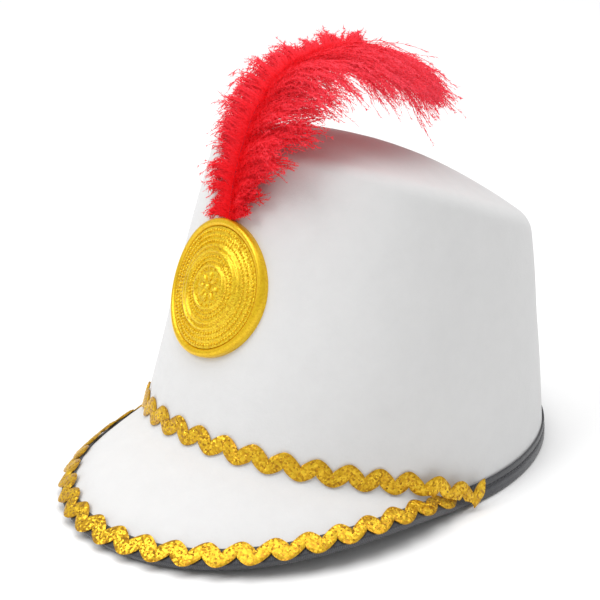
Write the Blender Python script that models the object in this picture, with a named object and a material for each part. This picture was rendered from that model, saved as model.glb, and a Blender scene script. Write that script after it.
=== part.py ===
"""A costume shako: crown and peak moulded in one piece of white felt, a black binding folded over
the whole edge, gold ric-rac braid over the crease and round the peak, a gold medallion and a red
ostrich plume. Metres, +Z up, front towards -Y, resting on z = 0 by its hem and its peak."""

import math

import bmesh
import bpy
from mathutils import Vector

# Crown, measured over the felt
HEAD_LENGTH = 0.206
HEAD_WIDTH = 0.163
TOP_LENGTH = 0.129
TOP_WIDTH = 0.1295
TOP_SETBACK = 0.0177
CROWN_HEIGHT = 0.127
TOP_SLOPE = math.radians(22.4)
TOP_SQUARENESS = 2.5
SHOULDER_RADIUS = 0.0107
TOP_DOME = 0.0115
FELT = 0.002

# The felt's edge stands this far above the inside of the tape's fold at the back
HEM_CLEARANCE = 0.0008

# Peak: it runs out at the temples, at this angle from the front
PEAK_SPREAD = math.radians(84)
PEAK_REACH = 0.0365
PEAK_DROOP = math.radians(10)
CREASE_HEIGHT = 0.028
CREASE_SOFTNESS = 0.004
RIM_LIFT_LEFT = 0.0067
RIM_LIFT_RIGHT = 0.001

# The braid on the rim reaches past the tape, so that the hat's middle lies this much further forward
CENTRING = 0.0003

# How the crease and the rim run out towards the temples, and where the rim is lifted most.
# The peak is soft, and its right side has sagged further than its left.
CREASE_FALL = 0.85
RIM_FALL_LEFT = 1.15
RIM_FALL_RIGHT = 1.85
LIFT_PLACE = 1.8

# The hem rises towards the front, so that the hat stands on the back of its hem and on its peak
HEM_RISE = 0.0027
HEM_LEVEL = 0.6

# Binding tape, folded over the edge
TAPE = 0.0007
BINDING_WIDTH = 0.0066
FOLDED_WIDTH = 0.0058
GAP = 0.0003
FOLD_GAP = 0.0006

# Ric-rac braid
BRAID_WIDTH = 0.011
BRAID_BAND = 0.0063
BRAID_WAVE = 0.0132
BRAID_THICKNESS = 0.0011
BRAID_OVERRUN = math.radians(4)
BRAID_SETBACK = math.radians(3)
BRAID_ROUNDNESS = 0.45
BRAID_LOBE = 0.65

# Near the temples the crown's braid crosses over the peak's braid
CROSSING_CLEARANCE = 0.002
CROSSING_START = 0.0004
CROSSING_LENGTH = 0.0042

# Medallion: a domed dish with a beaded face, bent to the crown and glued a little off its middle
MEDALLION_DIAMETER = 0.0575
MEDALLION_HEIGHT = 0.089
MEDALLION_TURN = math.radians(-4.4)
MEDALLION_BEND = 0.11
RIM_DEPTH = 0.0032
DOME_RISE = 0.0013
DISH_WALL = 0.001
RIM_WIDTH = 0.0034
RELIEF = 0.0005
BEAD_RADIUS = 0.0012

# Raised rings on the face, as shares of its radius, and how wide their slopes are
RIDGES = [
    {"outer": 0.57, "inner": 0.52},
    {"outer": 0.26, "inner": 0.21},
]
RIDGE_SLOPE = 0.03

# Rings of beads: place as a share of the face's radius, spacing and size in bead radii
BEAD_RINGS = [
    {"ring": 0.74, "spacing": 3.8, "size": 1.0, "stretch": 1.5},
    {"ring": 0.36, "spacing": 3.6, "size": 0.9, "stretch": 1.0},
]

# A bead's sections: width as a share of its size, height in reliefs above its sunk foot
BEAD_SECTIONS = [
    {"width": 1.0, "height": 0.0},
    {"width": 0.6, "height": 2.3},
]
BEAD_SINK = 1.5
BEAD_SIDES = 6
BEAD_TURN = 0.1

# Plume
PLUME_REACH = 0.0945
PLUME_RISE = 0.0652
PLUME_YAW = math.radians(15)
QUILL_RADIUS = 0.00065
QUILL_TIP_RADIUS = 0.0004
QUILL_TAIL = 0.012
LOCK_LENGTH = 0.055
LOCK_WIDTH = 0.0085
LOCK_THICKNESS = 0.0016
LOCKS_PER_SIDE = 12
FIRST_LOCK = 0.03
LAST_LOCK = 0.96

# The quill's line above the medallion, as shares of PLUME_REACH and PLUME_RISE
QUILL_STATIONS = [
    {"back": 0.0, "up": 0.0},
    {"back": 0.02, "up": 0.2},
    {"back": 0.06, "up": 0.42},
    {"back": 0.13, "up": 0.66},
    {"back": 0.25, "up": 0.88},
    {"back": 0.42, "up": 0.98},
    {"back": 0.62, "up": 0.99},
    {"back": 0.82, "up": 0.88},
    {"back": 1.0, "up": 0.68},
]

# Locks of barbs along the quill: length as a share of LOCK_LENGTH, sweep in degrees from the
# quill's line, rise and droop as shares of the lock's length
LEFT_LOCKS = [
    {"along": 0.0, "length": 0.34, "sweep": 62.0, "rise": 0.0, "droop": 0.0},
    {"along": 0.25, "length": 0.84, "sweep": 62.0, "rise": 0.05, "droop": 0.15},
    {"along": 0.5, "length": 1.0, "sweep": 52.0, "rise": 0.2, "droop": 0.62},
    {"along": 0.8, "length": 0.58, "sweep": 40.0, "rise": 0.22, "droop": 0.52},
    {"along": 1.0, "length": 0.18, "sweep": 20.0, "rise": 0.15, "droop": 0.3},
]
RIGHT_LOCKS = [
    {"along": 0.0, "length": 0.34, "sweep": 62.0, "rise": 0.0, "droop": 0.1},
    {"along": 0.25, "length": 0.7, "sweep": 70.0, "rise": 0.0, "droop": 0.3},
    {"along": 0.5, "length": 0.8, "sweep": 76.0, "rise": 0.12, "droop": 0.26},
    {"along": 0.8, "length": 0.58, "sweep": 58.0, "rise": 0.32, "droop": 0.2},
    {"along": 1.0, "length": 0.18, "sweep": 20.0, "rise": 0.15, "droop": 0.3},
]

# Sections of a lock along its length, from inside the quill to its tip
LOCK_SECTIONS = [
    {"part": -0.01, "width": 0.3},
    {"part": 0.3, "width": 1.0},
    {"part": 0.7, "width": 0.85},
    {"part": 1.0, "width": 0.15},
]
LOCK_THIN = 0.6

# Mesh fineness
PEAK_COLUMNS = 30
BACK_COLUMNS = 26
PEAK_ROWS = 4
WALL_ROWS = 4
SHOULDER_ROWS = 3
DOME_ROWS = 4
BRAID_STEPS = 6
BRAID_SAMPLES = 400
DISC_SIDES = 32
QUILL_SIDES = 6
QUILL_STEPS = 20
QUILL_TURN = 0.4
TEMPLE_BUNCHING = 0.1
WALL_BUNCHING = 1.6
LEG_ROW_LOW = 0.3
LEG_ROW_HIGH = 0.9

STEP_ANGLE = 0.02
STEP_RUN = 0.001
SETTLE_ROUNDS = 6
TINY = 1e-9
STAND = GAP + TAPE
HEM_STAND = STAND + HEM_CLEARANCE
OVAL_CENTRE_Y = PEAK_REACH / 2 + CENTRING


def mix(low, high, share):
    """The value a share of the way from low to high."""
    return low + (high - low) * share


def smooth(share):
    """A share from 0 to 1, eased at both ends."""
    share = min(1.0, max(0.0, share))
    return share * share * (3 - 2 * share)


def oval(angle, exponent):
    """Side and front shares of an oval's half sizes, at an angle from the front."""
    side, front = math.sin(angle), math.cos(angle)
    return (
        math.copysign(abs(side) ** (2 / exponent), side),
        math.copysign(abs(front) ** (2 / exponent), front),
    )


def top_plane(y):
    """Height of the sloping plane through the top's edge."""
    return CROWN_HEIGHT - math.tan(TOP_SLOPE) * (y - OVAL_CENTRE_Y - TOP_SETBACK)


def top_ring(angle, inset, scale):
    """A point of the top's outline, moved in by inset and then scaled about its centre."""
    side, front = oval(angle, TOP_SQUARENESS)
    x = (TOP_WIDTH / 2 - inset) * side * scale
    y = OVAL_CENTRE_Y + TOP_SETBACK - (TOP_LENGTH / 2 - inset) * front * scale
    return Vector((x, y, top_plane(y)))


def wall_top(angle):
    """Height at which the wall turns into the shoulder."""
    return top_ring(angle, 0, 1).z - SHOULDER_RADIUS


def wall_point(angle, height):
    """The wall's outer face at a height above the resting surface."""
    share = height / wall_top(angle)
    side, front = oval(angle, mix(2, TOP_SQUARENESS, share))
    x = mix(HEAD_WIDTH, TOP_WIDTH, share) / 2 * side
    y = OVAL_CENTRE_Y + TOP_SETBACK * share - mix(HEAD_LENGTH, TOP_LENGTH, share) / 2 * front
    return Vector((x, y, height))


def wall_lean(angle):
    """How far the wall leans in from upright."""
    foot, top = wall_point(angle, 0), wall_point(angle, wall_top(angle))
    run = (foot - top).xy.length
    return math.atan2(run, top.z)


def dome_turn():
    """The angle at which the shoulder's arc meets the dome smoothly."""
    return math.pi / 2 - math.atan2(2 * TOP_DOME, (TOP_LENGTH + TOP_WIDTH) / 4)


def shoulder_point(angle, share):
    """The rounded edge of the top, from the wall at 0 to the dome at 1."""
    lean = wall_lean(angle)
    turn = mix(lean, dome_turn(), share)
    point = top_ring(angle, SHOULDER_RADIUS * (math.cos(lean) - math.cos(turn)), 1)
    point.z -= SHOULDER_RADIUS * (1 - math.sin(turn) + math.sin(lean))
    return point


def dome_point(angle, scale):
    """The domed top, from its edge at 1 to its centre at 0."""
    lean = wall_lean(angle)
    turn = dome_turn()
    inset = SHOULDER_RADIUS * (math.cos(lean) - math.cos(turn)) * scale
    point = top_ring(angle, inset, scale)
    point.z -= SHOULDER_RADIUS * (1 - math.sin(turn) + math.sin(lean) * scale**2)
    point.z += TOP_DOME * (1 - scale**2)
    return point


def peak_share(angle):
    """0 at the front and 1 where the peak runs out at the temple."""
    return min(1.0, abs(angle) / PEAK_SPREAD)


def peak_fullness(angle):
    """1 at the front and 0 at the temple."""
    return max(0.0, math.cos(math.pi / 2 * peak_share(angle)))


def hem_height(angle):
    """Height of the felt's edge where there is no peak."""
    return HEM_STAND + HEM_RISE * smooth((math.cos(angle) + HEM_LEVEL) / (1 + HEM_LEVEL))


def crease_point(angle):
    """Where the wall turns into the peak, or the hem behind the temples."""
    hem = hem_height(angle)
    return wall_point(angle, hem + (CREASE_HEIGHT - hem) * peak_fullness(angle) ** CREASE_FALL)


def rim_stand():
    """Height of the felt's edge at the front, which sets the binding's lowest corner on z = 0."""
    stand = HEM_STAND
    foot = wall_point(0, CREASE_HEIGHT)
    for _ in range(SETTLE_ROUNDS):
        run = PEAK_REACH - wall_point(0, 0).y + foot.y
        slope = math.atan2(CREASE_HEIGHT - stand, run) + PEAK_DROOP
        stand = (FELT + FOLD_GAP + TAPE) * math.cos(slope) + STAND * math.sin(slope)
    return stand


RIM_STAND = rim_stand()


def rim_point(angle):
    """The felt's edge: the peak's rim at the front, the hem behind the temples."""
    hem = wall_point(angle, hem_height(angle))
    full = peak_fullness(angle)
    if full <= 0:
        return hem
    share = peak_share(angle)
    out = Vector((math.sin(angle) / HEAD_WIDTH, -math.cos(angle) / HEAD_LENGTH, 0)).normalized()
    fall, lift = (RIM_FALL_LEFT, RIM_LIFT_LEFT) if angle > 0 else (RIM_FALL_RIGHT, RIM_LIFT_RIGHT)
    point = hem + out * PEAK_REACH * full**fall
    point.z = mix(RIM_STAND, hem.z, share**2) + lift * math.sin(math.pi * share**LIFT_PLACE)
    return point


def peak_point(angle, share):
    """The peak's upper face, from its rim at 0 to the crease at 1."""
    rim, crease = rim_point(angle), crease_point(angle)
    chord = rim - crease
    if chord.length < STEP_RUN / 100:
        return crease
    flat = Vector((chord.x, chord.y, 0))
    out = flat.normalized()
    slope = math.atan2(-chord.z, flat.length)
    droop = PEAK_DROOP * (1 - peak_share(angle))
    start = (out * math.cos(slope - droop) - Vector((0, 0, math.sin(slope - droop)))) * chord.length
    end = (out * math.cos(slope + droop) - Vector((0, 0, math.sin(slope + droop)))) * chord.length
    t = 1 - share
    return (
        crease * (2 * t**3 - 3 * t**2 + 1)
        + start * (t**3 - 2 * t**2 + t)
        + rim * (3 * t**2 - 2 * t**3)
        + end * (t**3 - t**2)
    )


def peak_run(angle):
    """Length of the peak's profile at an angle, nought behind the temples."""
    return (rim_point(angle) - crease_point(angle)).length


def crease_softness(angle):
    """How far the crease's rounding reaches to each side."""
    return min(CREASE_SOFTNESS, peak_run(angle) / 3)


def above_crease(angle, run):
    """The wall's outer face at a distance above the crease."""
    crease, top = crease_point(angle), wall_point(angle, wall_top(angle))
    return wall_point(angle, mix(crease.z, top.z, run / (top - crease).length))


def skin_point(angle, run):
    """The felt's outer face at a distance up from its edge; a negative run is past the edge."""
    if run < 0:
        edge, above = skin_point(angle, 0), skin_point(angle, STEP_RUN)
        return edge + (edge - above).normalized() * -run
    width, soft = peak_run(angle), crease_softness(angle)
    if run <= width - soft and width > 0:
        return peak_point(angle, run / width)
    if run >= width + soft:
        return above_crease(angle, run - width)
    t = (run - width + soft) / (2 * soft)
    low, high = peak_point(angle, 1 - soft / width), above_crease(angle, soft)
    return low * (1 - t) ** 2 + crease_point(angle) * (2 * t * (1 - t)) + high * t**2


def skin_normal(angle, run):
    """The felt's outward normal there."""
    around = skin_point(angle + STEP_ANGLE, run) - skin_point(angle - STEP_ANGLE, run)
    up = skin_point(angle, run + STEP_RUN) - skin_point(angle, run - STEP_RUN)
    return around.cross(up).normalized()


def skin(angle, run, lift):
    """A point raised above the felt's outer face, or below it with a negative lift."""
    return skin_point(angle, run) + skin_normal(angle, run) * lift


def top_normal(surface, angle, share):
    """Outward normal of the shoulder or the dome."""
    around = surface(angle + STEP_ANGLE, share) - surface(angle - STEP_ANGLE, share)
    step = STEP_ANGLE if surface is shoulder_point else -STEP_ANGLE
    up = surface(angle, share + step) - surface(angle, share - step)
    return around.cross(up).normalized()


def columns():
    """Angles of the mesh's columns, once round, closer together at the temples."""
    front = []
    for k in range(PEAK_COLUMNS + 1):
        x = 2 * k / PEAK_COLUMNS - 1
        front.append(PEAK_SPREAD * (x + TEMPLE_BUNCHING * math.sin(math.pi * x)))
    step = (2 * math.pi - 2 * PEAK_SPREAD) / BACK_COLUMNS
    back = [PEAK_SPREAD + step * k for k in range(1, BACK_COLUMNS)]
    return front + back


def new_object(name, mesh, material):
    """Links a mesh to the scene as a named object with its material."""
    obj = bpy.data.objects.new(name, mesh)
    bpy.context.scene.collection.objects.link(obj)
    obj.data.materials.clear()
    obj.data.materials.append(material)
    return obj


def finish(name, bm, material, sharp_degrees):
    """Turns a bmesh into a smooth-shaded object with outward faces."""
    bmesh.ops.recalc_face_normals(bm, faces=bm.faces[:])
    bmesh.ops.triangulate(bm, faces=bm.faces[:])
    mesh = bpy.data.meshes.new(name)
    bm.to_mesh(mesh)
    bm.free()
    mesh.shade_smooth()
    mesh.set_sharp_from_angle(angle=math.radians(sharp_degrees))
    return new_object(name, mesh, material)


def tube_faces(bm, rings, closed):
    """Joins rings of points into a tube; an open one has both ends capped."""
    verts = [[bm.verts.new(point) for point in ring] for ring in rings]
    count = len(verts[0])
    spans = len(verts) if closed else len(verts) - 1
    for i in range(spans):
        a, b = verts[i], verts[(i + 1) % len(verts)]
        for j in range(count):
            k = (j + 1) % count
            bm.faces.new((a[j], a[k], b[k], b[j]))
    if not closed:
        bm.faces.new(verts[0])
        bm.faces.new(reversed(verts[-1]))


def material(name, colour, roughness, metallic):
    """A Principled material."""
    made = bpy.data.materials.new(name)
    made.use_nodes = True
    shader = made.node_tree.nodes["Principled BSDF"]
    shader.inputs["Base Color"].default_value = (*colour, 1)
    shader.inputs["Roughness"].default_value = roughness
    shader.inputs["Metallic"].default_value = metallic
    return made


def felt_rows(angle, lift):
    """One column of the felt, from its edge to just short of the top's centre."""
    width, soft = peak_run(angle), crease_softness(angle)
    crease, top = crease_point(angle), wall_point(angle, wall_top(angle))
    flare = width - soft
    runs = [flare * k / (PEAK_ROWS - 1) for k in range(PEAK_ROWS)] + [width]
    height = (top - crease).length - soft
    runs += [width + soft + height * (k / WALL_ROWS) ** WALL_BUNCHING for k in range(WALL_ROWS)]
    rows = [skin(angle, run, lift) for run in runs]
    for k in range(SHOULDER_ROWS):
        share = k / SHOULDER_ROWS
        normal = top_normal(shoulder_point, angle, share)
        rows.append(shoulder_point(angle, share) + normal * lift)
    for k in range(DOME_ROWS):
        scale = 1 - k / DOME_ROWS
        rows.append(dome_point(angle, scale) + top_normal(dome_point, angle, scale) * lift)
    return rows


def felt_skin(bm, lift):
    """One face of the felt as a grid; behind the temples the peak's rows fall together."""
    angles = columns()
    grid = []
    for angle in angles:
        behind = peak_share(angle) >= 1 - TINY
        points = felt_rows(angle, lift)
        rows = []
        for k, point in enumerate(points):
            rows.append(rows[-1] if behind and 0 < k <= PEAK_ROWS + 1 else bm.verts.new(point))
        grid.append(rows)
    centre = dome_point(0, 0)
    centre.z += lift
    pole = bm.verts.new(centre)
    for i, low in enumerate(grid):
        high = grid[(i + 1) % len(grid)]
        for k in range(len(low) - 1):
            corners = []
            for vert in (low[k], high[k], high[k + 1], low[k + 1]):
                if vert not in corners:
                    corners.append(vert)
            if len(corners) > 2:
                bm.faces.new(corners)
        bm.faces.new((low[-1], high[-1], pole))
    return [rows[0] for rows in grid]


def crown_and_peak(white_felt):
    """The moulded felt: a hollow crown whose front flares into the peak."""
    bm = bmesh.new()
    outer = felt_skin(bm, 0)
    inner = felt_skin(bm, -FELT)
    for i in range(len(outer)):
        j = (i + 1) % len(outer)
        bm.faces.new((outer[i], outer[j], inner[j], inner[i]))
    return finish("crown_and_peak", bm, white_felt, sharp_degrees=40)


def leg_runs(angle, width):
    """Runs across one leg of the binding, with a row on the crease where the leg covers it."""
    crease = min(max(peak_run(angle), width * LEG_ROW_LOW), width * LEG_ROW_HIGH)
    return [crease / 2, crease, width]


def binding_section(angle):
    """The binding's section: down the outside of the felt, round its edge and up the inside."""
    inside = FELT + FOLD_GAP
    outer, inner = leg_runs(angle, BINDING_WIDTH), leg_runs(angle, FOLDED_WIDTH)
    outer_foot = skin(angle, -STAND, STAND)
    inner_foot = skin(angle, -STAND, -inside - TAPE)
    if peak_share(angle) >= 1 - TINY:
        outer_foot.z = inner_foot.z = hem_height(angle) - HEM_STAND
    section = [skin(angle, run, STAND) for run in reversed(outer)]
    section += [outer_foot, inner_foot]
    section += [skin(angle, run, -inside - TAPE) for run in inner]
    section += [skin(angle, run, -inside) for run in reversed(inner)]
    section += [skin(angle, -GAP, -inside), skin(angle, -GAP, GAP)]
    return section + [skin(angle, run, GAP) for run in outer]


def edge_binding(black_tape):
    """The black tape, one loop round the hem and the peak's rim."""
    bm = bmesh.new()
    tube_faces(bm, [binding_section(angle) for angle in columns()], closed=True)
    return finish("edge_binding", bm, black_tape, sharp_degrees=35)


def braid_edge(phase):
    """A ric-rac edge from -1 to 1: round at its crests and pinched in its valleys."""
    lobe = 2 * abs(math.cos(phase / 2)) ** BRAID_LOBE - 1
    return mix(math.cos(phase), lobe, BRAID_ROUNDNESS)


def braid(name, limit, centre_run, lift, gold_braid):
    """A ric-rac braid on the felt from temple to temple, in whole waves."""
    angles = [mix(-limit, limit, k / BRAID_SAMPLES) for k in range(BRAID_SAMPLES + 1)]
    lengths = [0.0]
    points = [skin(angle, centre_run(angle), lift(angle)) for angle in angles]
    for low, high in zip(points, points[1:]):
        lengths.append(lengths[-1] + (high - low).length)
    waves = round(lengths[-1] / BRAID_WAVE)
    swing = (BRAID_WIDTH - BRAID_BAND) / 2
    rings = []
    k = 0
    for i in range(waves * BRAID_STEPS + 1):
        run = lengths[-1] * i / (waves * BRAID_STEPS)
        while k < BRAID_SAMPLES - 1 and lengths[k + 1] < run:
            k += 1
        share = (run - lengths[k]) / (lengths[k + 1] - lengths[k])
        angle = mix(angles[k], angles[k + 1], share)
        phase = 2 * math.pi * i / BRAID_STEPS
        high = centre_run(angle) + BRAID_BAND / 2 + swing * braid_edge(phase)
        low = centre_run(angle) - BRAID_BAND / 2 - swing * braid_edge(phase + math.pi)
        base = lift(angle)
        rings.append([
            skin(angle, high, base + BRAID_THICKNESS),
            skin(angle, low, base + BRAID_THICKNESS),
            skin(angle, low, base),
            skin(angle, high, base),
        ])
    bm = bmesh.new()
    tube_faces(bm, rings, closed=False)
    return finish(name, bm, gold_braid, sharp_degrees=40)


def crown_braid(gold_braid):
    """The braid over the crease, which rides up over the peak's braid near the temples."""
    clear, low = BRAID_WIDTH / 2 + GAP, BRAID_WIDTH / 2 + GAP - HEM_STAND

    def centre_run(angle):
        width = peak_run(angle)
        return width + mix(low, clear, smooth(width / BINDING_WIDTH))

    def lift(angle):
        raised = STAND + BRAID_THICKNESS + CROSSING_CLEARANCE
        free = peak_run(angle) - BINDING_WIDTH
        return mix(raised, GAP, smooth((free - CROSSING_START) / CROSSING_LENGTH))

    return braid("crown_braid", PEAK_SPREAD + BRAID_OVERRUN, centre_run, lift, gold_braid)


def peak_braid(gold_braid):
    """The braid that lies on the binding along the peak's rim."""
    def centre_run(angle):
        return BINDING_WIDTH / 2

    def lift(angle):
        return STAND + GAP

    return braid("peak_braid", PEAK_SPREAD - BRAID_SETBACK, centre_run, lift, gold_braid)


def front_of_wall(x, height):
    """The wall's outer face at the front of the hat, by its side and height."""
    angle = 0.0
    for _ in range(SETTLE_ROUNDS):
        share = height / wall_top(angle)
        half = mix(HEAD_WIDTH, TOP_WIDTH, share) / 2
        angle = math.asin(abs(x / half) ** (mix(2, TOP_SQUARENESS, share) / 2))
        angle = math.copysign(angle, x)
    return wall_point(angle, height)


def medallion_frame():
    """Centre on the felt, side, up and outward directions of the medallion."""
    centre = wall_point(MEDALLION_TURN, MEDALLION_HEIGHT)
    up = (wall_point(MEDALLION_TURN, MEDALLION_HEIGHT + STEP_RUN) - centre).normalized()
    low = front_of_wall(centre.x - MEDALLION_DIAMETER / 4, centre.z)
    high = front_of_wall(centre.x + MEDALLION_DIAMETER / 4, centre.z)
    out = (high - low).cross(up).normalized()
    return centre, up.cross(out), up, out


def on_medallion(radius, angle, depth):
    """A point of the medallion by radius, angle and height above the bent sheet it is made on."""
    centre, side, up, out = medallion_frame()
    across = radius * math.sin(angle)
    bend = across**2 / (2 * MEDALLION_BEND)
    return centre + side * across + up * radius * math.cos(angle) + out * (depth - bend)


def felt_depth(radius, angle):
    """Depth on the medallion at which the felt lies."""
    depth = 0.0
    out = medallion_frame()[3]
    for _ in range(SETTLE_ROUNDS):
        point = on_medallion(radius, angle, depth)
        depth += (front_of_wall(point.x, point.z).y - point.y) / out.y
    return depth


def face_depth(radius):
    """Depth of the medallion's domed face."""
    share = radius / (MEDALLION_DIAMETER / 2)
    return RIM_DEPTH - RELIEF + DOME_RISE * (1 - share**2)


def lathe(bm, profile, sides):
    """Turns a profile of radius and depth, which starts and ends on the medallion's axis."""
    rings = []
    for radius, depth in profile:
        turns = [2 * math.pi * k / sides for k in range(sides if radius > 0 else 1)]
        depths = [felt_depth(radius, a) + GAP if depth is None else depth for a in turns]
        rings.append([bm.verts.new(on_medallion(radius, a, d)) for a, d in zip(turns, depths)])
    for low, high in zip(rings, rings[1:]):
        for k in range(sides):
            n = (k + 1) % sides
            corners = []
            for vert in (low[k % len(low)], low[n % len(low)], high[n % len(high)], high[k % len(high)]):
                if vert not in corners:
                    corners.append(vert)
            bm.faces.new(corners)


def medallion_profile():
    """The dish's half section, from the back of its plate round the rim to the face's centre.

    A depth of None lies on the felt, with the gap between."""
    radius = MEDALLION_DIAMETER / 2
    inner = radius - DISH_WALL
    back = [(share * inner, face_depth(share * inner) - DISH_WALL - RELIEF) for share in (0, 0.5, 1)]
    rounding = RIM_WIDTH / 4
    rim = [
        (inner, None),
        (radius, None),
        (radius, RIM_DEPTH - rounding),
        (radius - rounding, RIM_DEPTH),
        (radius - RIM_WIDTH + rounding, RIM_DEPTH),
    ]
    face = [(radius - RIM_WIDTH, face_depth(radius - RIM_WIDTH) - RELIEF)]
    for ridge in RIDGES:
        high, low = ridge["outer"], ridge["inner"]
        foot, top = face_depth(high * radius), face_depth(low * radius)
        face.append(((high + RIDGE_SLOPE) * radius, foot - RELIEF))
        face.append((high * radius, foot + RELIEF / 2))
        face.append((low * radius, top + RELIEF / 2))
        face.append(((low - RIDGE_SLOPE) * radius, top - RELIEF))
    return back + rim + face + [(0, face_depth(0) - RELIEF)]


def bead_on_face(bm, radius, angle, size, stretch):
    """One raised bead, a low six-sided dome that reaches into the plate."""
    around = on_medallion(radius, angle, face_depth(radius) - BEAD_SINK * RELIEF)
    _, side, up, out = medallion_frame()
    along = side * math.sin(angle) + up * math.cos(angle)
    across = along.cross(out)
    rings = []
    for section in BEAD_SECTIONS:
        ring = []
        for k in range(BEAD_SIDES):
            turn = 2 * math.pi * k / BEAD_SIDES + BEAD_TURN
            step = along * size * stretch * math.cos(turn) + across * size * math.sin(turn)
            ring.append(around + step * section["width"] + out * RELIEF * section["height"])
        rings.append(ring)
    tube_faces(bm, rings, closed=False)


def medallion(gold_plastic):
    """The gold medallion: a beaded dish, notched at the top of its back for the quill."""
    radius = MEDALLION_DIAMETER / 2
    bm = bmesh.new()
    lathe(bm, medallion_profile(), DISC_SIDES)
    dish = finish("medallion", bm, gold_plastic, sharp_degrees=30)

    bm = bmesh.new()
    for row in BEAD_RINGS:
        place = row["ring"] * radius
        count = int(2 * math.pi * place / (BEAD_RADIUS * row["spacing"]))
        for k in range(count):
            bead_on_face(bm, place, 2 * math.pi * k / count, BEAD_RADIUS * row["size"], row["stretch"])
    beads = finish("medallion_beads", bm, gold_plastic, sharp_degrees=30)
    beads.hide_render = True
    beads.display_type = "WIRE"
    join(dish, beads, "UNION")

    bm = bmesh.new()
    half = QUILL_RADIUS + 2 * GAP
    depth = 2 * QUILL_RADIUS + 3 * GAP
    low = on_medallion(radius - QUILL_TAIL - 2 * GAP, 0, 0)
    high = on_medallion(radius + DISH_WALL, 0, 0)
    _, side, _, out = medallion_frame()
    corners = ((-half, -GAP), (half, -GAP), (half, depth), (-half, depth))
    rings = [[base + side * x + out * d for x, d in corners] for base in (low, high)]
    tube_faces(bm, rings, closed=False)
    notch = finish("quill_notch", bm, gold_plastic, sharp_degrees=30)
    notch.hide_render = True
    notch.display_type = "WIRE"
    join(dish, notch, "DIFFERENCE")
    return dish


def join(target, tool, operation):
    """Adds a Boolean with an exact solver."""
    cut = target.modifiers.new(operation.lower(), "BOOLEAN")
    cut.operation = operation
    cut.object = tool
    cut.solver = "EXACT"


def quill_start():
    """Where the quill comes out at the medallion's top, lying against the felt."""
    centre, _, up, out = medallion_frame()
    return centre + up * MEDALLION_DIAMETER / 2 + out * (QUILL_RADIUS + 2 * GAP)


def spline(values, share):
    """A smooth curve through evenly numbered values, at a share of its length."""
    place = min(max(share, 0.0), 1.0) * (len(values) - 1)
    k = min(int(place), len(values) - 2)
    t = place - k
    before = values[k - 1] if k > 0 else 2 * values[0] - values[1]
    after = values[k + 2] if k + 2 < len(values) else 2 * values[-1] - values[-2]
    a, b = values[k], values[k + 1]
    return 0.5 * (
        2 * a
        + (b - before) * t
        + (2 * before - 5 * a + 4 * b - after) * t**2
        + (3 * a - before - 3 * b + after) * t**3
    )


def quill_point(share):
    """The quill's line from the medallion's top to its tip."""
    back = spline([s["back"] for s in QUILL_STATIONS], share) * PLUME_REACH
    up = spline([s["up"] for s in QUILL_STATIONS], share) * PLUME_RISE
    return quill_start() + Vector((back * math.sin(PLUME_YAW), back * math.cos(PLUME_YAW), up))


def quill_direction(share):
    """Unit tangent of the quill's line."""
    step = STEP_ANGLE / 2
    low, high = max(0.0, share - step), min(1.0, share + step)
    return (quill_point(high) - quill_point(low)).normalized()


def plume_side():
    """Unit direction square to the plane that the quill curves in."""
    return Vector((math.cos(PLUME_YAW), -math.sin(PLUME_YAW), 0))


def lock_value(locks, share, column):
    """A lock's length, sweep, rise or droop, between the rows of its side's table."""
    for low, high in zip(locks, locks[1:]):
        if share <= high["along"]:
            part = (share - low["along"]) / (high["along"] - low["along"])
            return mix(low[column], high[column], smooth(part))
    return locks[-1][column]


def lock_rings(share, side):
    """One lock of barbs: a flat strip that sweeps off the quill, rises, droops and tapers."""
    root = quill_point(share)
    along = quill_direction(share)
    outward = plume_side() * side
    above = plume_side().cross(along)
    locks = LEFT_LOCKS if side > 0 else RIGHT_LOCKS
    sweep = math.radians(lock_value(locks, share, "sweep"))
    length = LOCK_LENGTH * lock_value(locks, share, "length")
    rise, droop = lock_value(locks, share, "rise"), lock_value(locks, share, "droop")
    heading = along * math.cos(sweep) + outward * math.sin(sweep)
    flat = heading.cross(above).normalized()
    rings = []
    for section in LOCK_SECTIONS:
        part, width = section["part"], section["width"]
        path = root + (heading * part + above * rise * part) * length
        path.z -= droop * length * part**2
        half = flat * LOCK_WIDTH / 2 * width
        thick = above * LOCK_THICKNESS / 2 * mix(LOCK_THIN, 1.0, width)
        rings.append([path - half, path + thick, path + half, path - thick])
    return rings


def plume(red_feather):
    """The ostrich plume: a tapering quill with locks of barbs fused to both sides."""
    bm = bmesh.new()
    rings = []
    tail = quill_start() - medallion_frame()[2] * QUILL_TAIL
    _, side, _, _ = medallion_frame()
    for k in range(-1, QUILL_STEPS + 1):
        share = max(k, 0) / QUILL_STEPS
        centre = tail if k < 0 else quill_point(share)
        along = medallion_frame()[2] if k < 0 else quill_direction(share)
        across = plume_side() if k > 1 else side
        above = across.cross(along).normalized()
        radius = mix(QUILL_RADIUS, QUILL_TIP_RADIUS, share)
        turns = [2 * math.pi * (n + QUILL_TURN) / QUILL_SIDES for n in range(QUILL_SIDES)]
        rings.append([centre + (across * math.cos(a) + above * math.sin(a)) * radius for a in turns])
    tube_faces(bm, rings, closed=False)
    quill = finish("plume", bm, red_feather, sharp_degrees=50)

    bm = bmesh.new()
    for k in range(2 * LOCKS_PER_SIDE):
        share = mix(FIRST_LOCK, LAST_LOCK, k / (2 * LOCKS_PER_SIDE - 1))
        tube_faces(bm, lock_rings(share, 1 if k % 2 else -1), closed=False)
    locks = finish("plume_locks", bm, red_feather, sharp_degrees=50)
    locks.hide_render = True
    locks.display_type = "WIRE"
    join(quill, locks, "UNION")
    quill.modifiers[0].use_self = True
    return quill


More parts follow.
